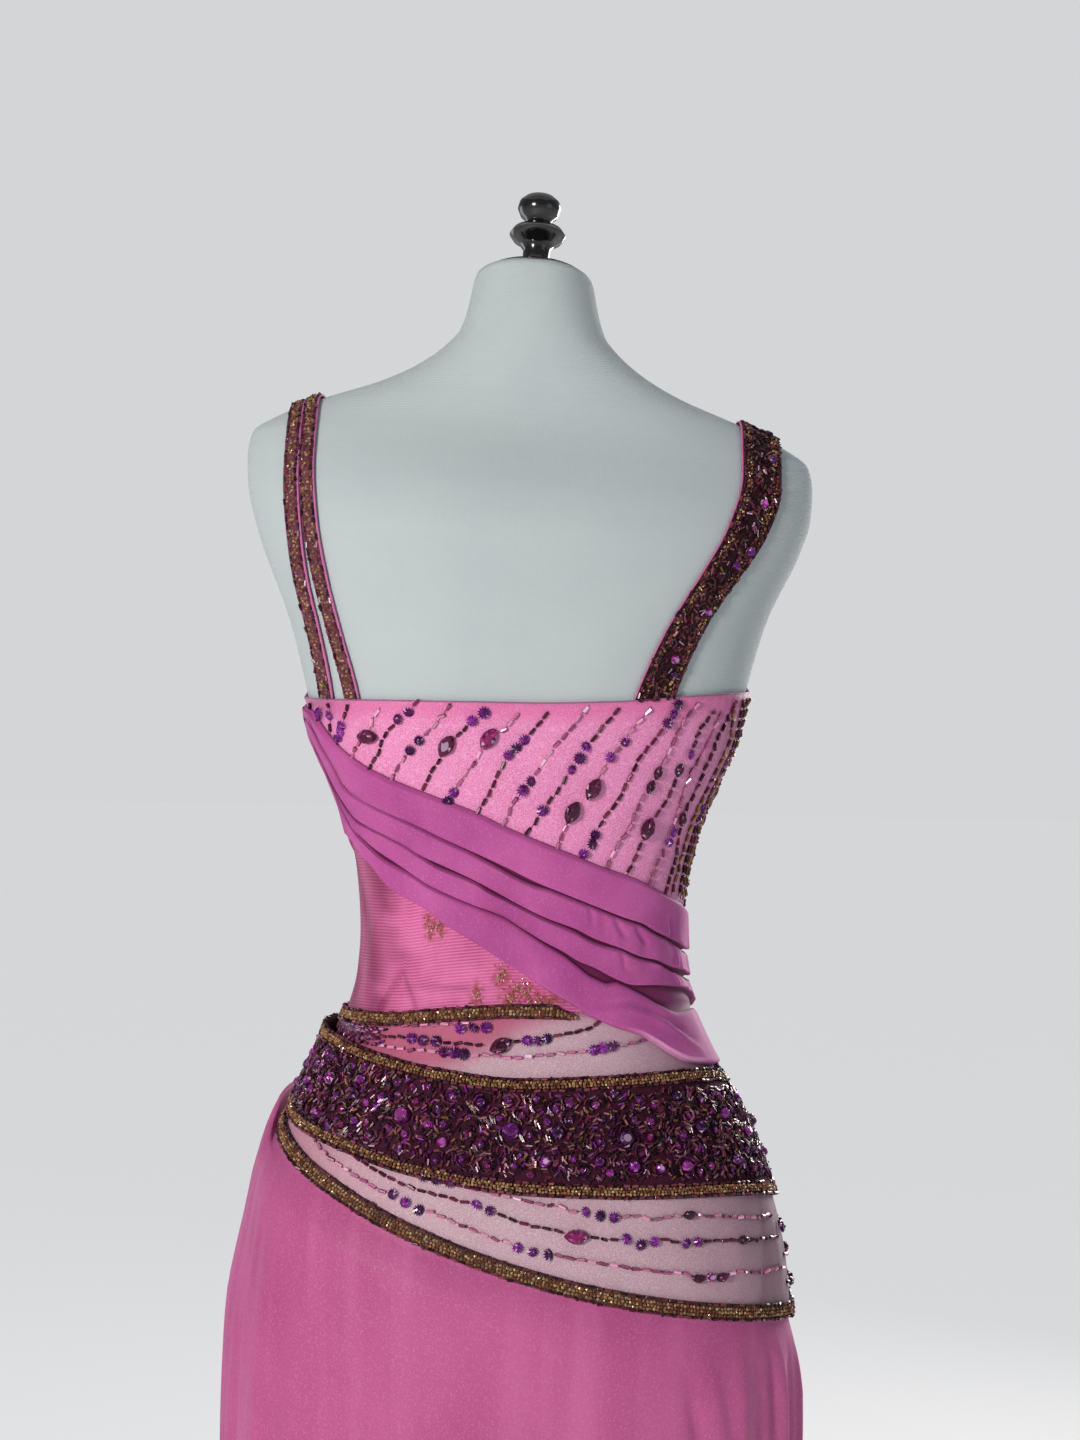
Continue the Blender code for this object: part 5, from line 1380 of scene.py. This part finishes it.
PUFF = np.array([
    # down and out where plain, down and out where it puffs, share of the skirt's own sections
    (0, 0, 0, 0, 0), (7, 0, 7, 0, 0), (11, 1, 8, 7.5, 0.05), (17, 3, -6, 13, 0.15), (26, 6, -5, 21, 0.4),
    (38, 8, 13, 26, 0.8), (52, 9, 40, 28, 1),
]) / (1000, 1000, 1000, 1000, 1)
PUFF_MIDDLE, PUFF_SPREAD = -24.0, 34.0
SKIRT_OUT, SKIRT_THICK, SKIRT_SEAM_GAP = 0.00185, 0.0010, 0.00006
FLUTES, FLUTE_DEPTH, FLUTE_START, FLUTE_MEAN = 9, 0.030, 0.52, 0.35
FLUTE_SWAY, FLUTE_SWAY_TURN, FLUTE_TURN = 0.5, 0.7, 0.4
SIDE_FOLD_DEPTH, SIDE_FOLD_SPREAD, SIDE_FOLD_WIDTH = 0.0045, 38.0, 18.0
SKIRT_FOLDS = (
    (60.5, 735, -20, 1.4, 60, 1.8), (63.5, 720, -20, 1.6, 65, -1.6), (127, 737, -75, 1.5, 36, -3.4),
    (131, 742, -60, 2.2, 50, 2.6), (147.5, 765, -10, 1.5, 70, -3.2), (88, 700, 10, 3, 60, 1.2),
    (46, 760, 20, 3.2, 110, 2.7), (58, 700, 10, 3, 140, -2), (78, 690, -10, 4.5, 120, 1.7),
    (108, 640, 0, 5, 140, 2), (136, 730, 10, 2.6, 80, 3.7), (142, 700, 10, 2, 90, -2.7),
    (152, 740, 0, 2, 100, 3.4), (158, 740, 0, 1.8, 100, -2.7), (165, 740, 0, 2, 120, 3.7),
    (174, 700, 0, 2.6, 140, -2.7), (184, 680, 0, 3, 140, 2.7), (200, 700, 0, 3.6, 130, -2),
    (222, 660, 0, 4.5, 130, 2), (250, 640, 0, 5, 140, -1.7), (278, 660, 10, 4.5, 130, 2),
    (305, 700, 20, 4, 120, -2), (326, 780, 20, 3, 100, 3.1), (337, 760, 10, 2.4, 110, -2.4),
    (348, 800, 0, 2, 90, 2.7), (356, 780, 0, 1.8, 100, -2), (10, 790, 0, 1.8, 100, 2.7),
    (19, 780, 10, 1.8, 100, -2.4), (28, 790, 10, 2, 90, 2.7), (90, 560, 0, 6, 80, 1.7),
)


def skirt_point(theta, height):
    """Point on the skirt's own sections: the outline times the half widths of the table, shifted left."""
    half, front, back, shift, power = read_table(SKIRT, height, 1, 2, 3, 4, 5)
    unit_x, unit_y = outline(theta, power)
    x = half * unit_x + shift
    return np.stack((x, np.where(unit_y < 0, front, back) * unit_y, height + 0 * x), -1)


def skirt_folds(theta, height):
    """Flutes as a swaying cosine round the hem that grows down from the knee, soft folds at the left, and
    ridges."""
    sway = FLUTE_SWAY * np.sin(2 * theta + FLUTE_SWAY_TURN)
    flare = 1 - ease_in(height, SKIRT[0, 0], FLUTE_START)
    flutes = FLUTE_DEPTH * flare * (np.cos(FLUTES * theta + sway + FLUTE_TURN) - FLUTE_MEAN)
    degrees = signed(np.degrees(theta))
    side_share = ease_in(height, 0.45, 0.62) * (1 - ease_in(height, 0.78, 0.90))
    side_wave = np.cos(2 * math.pi * degrees / SIDE_FOLD_WIDTH) * bell(degrees, SIDE_FOLD_SPREAD)
    return flutes + SIDE_FOLD_DEPTH * side_wave * side_share + waves(theta, height, SKIRT_FOLDS)


def skirt_sheet(theta, rows):
    """Skirt cloth from the seam to the hem: a smooth curve through the puff's steps, then the sections."""
    seam = line_height("skirt_seam", theta) - SEAM_GAP / 2
    puff = bell(signed(np.degrees(theta)) - PUFF_MIDDLE, PUFF_SPREAD)
    knots = []
    for plain_down, plain_out, puff_down, puff_out, share in PUFF:
        down = plain_down + (puff_down - plain_down) * puff
        out = SKIRT_OUT + plain_out + (puff_out - plain_out) * puff
        under = seam - np.maximum(down, 0)
        point = body_point(theta, under) + body_normal(theta, under) * out[..., None]
        point[..., 2] = seam - down
        point = point * (1 - share) + skirt_point(theta, seam - down) * share
        # The folds grow in over the puff's steps
        knots.append(point + unit(point * (1, 1, 0)) * (share * skirt_folds(theta, seam - down))[..., None])
    last = knots[-1][..., 2]
    for level in np.linspace(0.0, 1.0, rows) ** 1.05:
        height = (last - 0.006) * (1 - level) + SKIRT[0, 0] * level
        point = skirt_point(theta, height)
        knots.append(point + unit(point * (1, 1, 0)) * skirt_folds(theta, height)[..., None])
    return np.array(knots)


def finer(grid, rows):
    """Grid with more rows, on a cubic through the given ones (Catmull-Rom)."""
    at = np.linspace(0, len(grid) - 1, rows)
    k = np.clip(at.astype(int), 0, len(grid) - 2)
    t = (at - k)[:, None, None]
    a, b, c, d = (grid[np.clip(k + s, 0, len(grid) - 1)] for s in (-1, 0, 1, 2))
    square, cube = 2 * a - 5 * b + 4 * c - d, 3 * b - a - 3 * c + d
    return 0.5 * (2 * b + (c - a) * t + square * t ** 2 + cube * t ** 3)


# Crepe: a satin sheen along the folds, partly the shader's own and partly painted in long pale streaks, fine
# crinkled grain and scattered painted glints
crepe, tree, shader = new_finish("satin_backed_crepe", "#BC5590", 0.55, Sheen_Weight=0.25,
                                 Specular_IOR_Level=0.28, Sheen_Tint=colour("#F0B0D8"))
cut = add_node(tree, "UVMap", uv_map="cut").outputs[0]
grain = add_node(tree, "TexNoise", {"Vector": cut, "Scale": 800.0, "Detail": 2.0}).outputs["Fac"]
patches = add_node(tree, "TexNoise", {"Vector": cut, "Scale": 7.0, "Detail": 3.0}).outputs["Fac"]
light = add_node(tree, "MapRange", {"Value": patches, "From Min": 0.35, "From Max": 0.65}).outputs[0]
drawn_out = add_node(tree, "VectorMath", {0: cut, 1: (1.0, 0.09, 1.0)}, operation="MULTIPLY").outputs[0]
sheen_streaks = add_node(tree, "TexNoise", {"Vector": drawn_out, "Scale": 34.0, "Detail": 2.0}).outputs["Fac"]
sheen_streak = add_node(tree, "MapRange", {"Value": sheen_streaks, "From Min": 0.48, "From Max": 0.72,
                                     "To Max": 0.5}).outputs[0]
glint_cells = add_node(tree, "TexVoronoi", {"Vector": cut, "Scale": 1300.0}).outputs["Color"]
glint_speck = add_node(tree, "MapRange", {"Value": glint_cells, "From Min": 0.60, "From Max": 0.98,
                                    "To Max": 0.26}).outputs[0]
lay_finish(tree, shader, "#B04A82", [(light, "#C05A92"), (sheen_streak, "#CE6CA2"), (glint_speck, "#E6A2CC")],
           (grain, 0.00015, 0.7))

for side in ("back", "front"):
    theta = half_angles(side, 220)
    sheet = skirt_sheet(theta, 56)
    coarse = len(PUFF)
    upper = finer(sheet[:coarse + 2], 32)
    points = np.concatenate((upper[:-1], finer(sheet[coarse + 1:], 58)))
    points[:, (0, -1), 1] = SKIRT_SEAM_GAP / 2 if side == "back" else -SKIRT_SEAM_GAP / 2
    skirt = grid_piece("skirt_crepe_" + side, points, cloth_uv(points))
    thicken(skirt, SKIRT_THICK)
    dress(skirt, crepe, "crepe", "skirt_" + side)
    hem, fall = float(lengths(points[-1])[-1]), float(lengths(points[:, 110])[-1])


# Floor, light and camera: a plain pale floor, soft studio lamps and the photograph's view from behind
floor_mesh = bpy.data.meshes.new("studio_floor")
floor_mesh.from_pydata([(-30, -30, 0), (30, -30, 0), (30, 30, 0), (-30, 30, 0)], [], [(0, 1, 2, 3)])
floor = new_object("studio_floor", floor_mesh)
# Paper that meets the backdrop without a line: the camera sees it glow in the backdrop's tone
paper, tree, shader = new_finish("studio_paper", "#D6D4D2", 0.9, Emission_Color=colour("#D4D5D7"))
place = add_node(tree, "TexCoord").outputs["Object"]
fibre = add_node(tree, "TexNoise", {"Vector": place, "Scale": 40.0, "Detail": 3.0}).outputs["Fac"]
straight = add_node(tree, "LightPath").outputs["Is Camera Ray"]
lay_finish(tree, shader, "#D2D0CE", [(fibre, "#DAD8D6"), (straight, "#828281")])
glow = add_node(tree, "MapRange", {"Value": straight, "To Min": 0.38, "To Max": 0.935}).outputs[0]
feed(tree, shader, {"Emission Strength": glow})
floor.data.materials.append(paper)

world = bpy.data.worlds.new("studio")
world.use_nodes = True
tree = world.node_tree
seen = add_node(tree, "Background", {"Color": colour("#D4D5D7"), "Strength": 1.0})
given = add_node(tree, "Background", {"Color": colour("#C9CCD2"), "Strength": 0.30})
straight = add_node(tree, "LightPath").outputs["Is Camera Ray"]
mix = add_node(tree, "MixShader", {0: straight, 1: given.outputs[0], 2: seen.outputs[0]})
tree.links.new(mix.outputs[0], tree.nodes["World Output"].inputs["Surface"])
bpy.context.scene.world = world
bpy.context.scene.view_settings.view_transform = "Standard"


def lamp(name, place, aim, size, watts, code):
    """A square soft lamp that faces a point."""
    light = bpy.data.lights.new(name, "AREA")
    light.size, light.energy, light.color = size, watts, colour(code)[:3]
    holder = new_object(name, light)
    holder.location = place
    holder.rotation_euler = (Vector(aim) - Vector(place)).to_track_quat("-Z", "Y").to_euler()


lamp("key", (1.45, 2.4, 1.55), (0, 0, 1.1), 0.6, 52, "#FFF9F4")
lamp("fill", (-2.4, 1.6, 1.4), (0, 0, 1.0), 1.4, 3, "#F2F4FF")
lamp("front_key", (-1.5, -2.4, 1.7), (0, 0, 1.0), 1.3, 52, "#FFF9F4")
lamp("front_fill", (2.4, -1.6, 1.2), (0, 0, 0.9), 1.4, 8, "#F2F4FF")
lamp("top", (0, 0, 4.0), (0, 0, 0), 5.0, 25, "#FFFFFF")

camera_data = bpy.data.cameras.new("photo_view")
camera_data.lens, camera_data.sensor_width = 60, 36
camera = new_object("photo_view", camera_data)
upright = Matrix(((-1, 0, 0), (0, 0, 1), (0, 1, 0)))
camera.matrix_world = (Matrix.Translation((-0.010, 1.600, 1.189)) @ upright.to_4x4()
                       @ Matrix.Rotation(math.radians(1.2), 4, "Z"))
bpy.context.scene.camera = camera
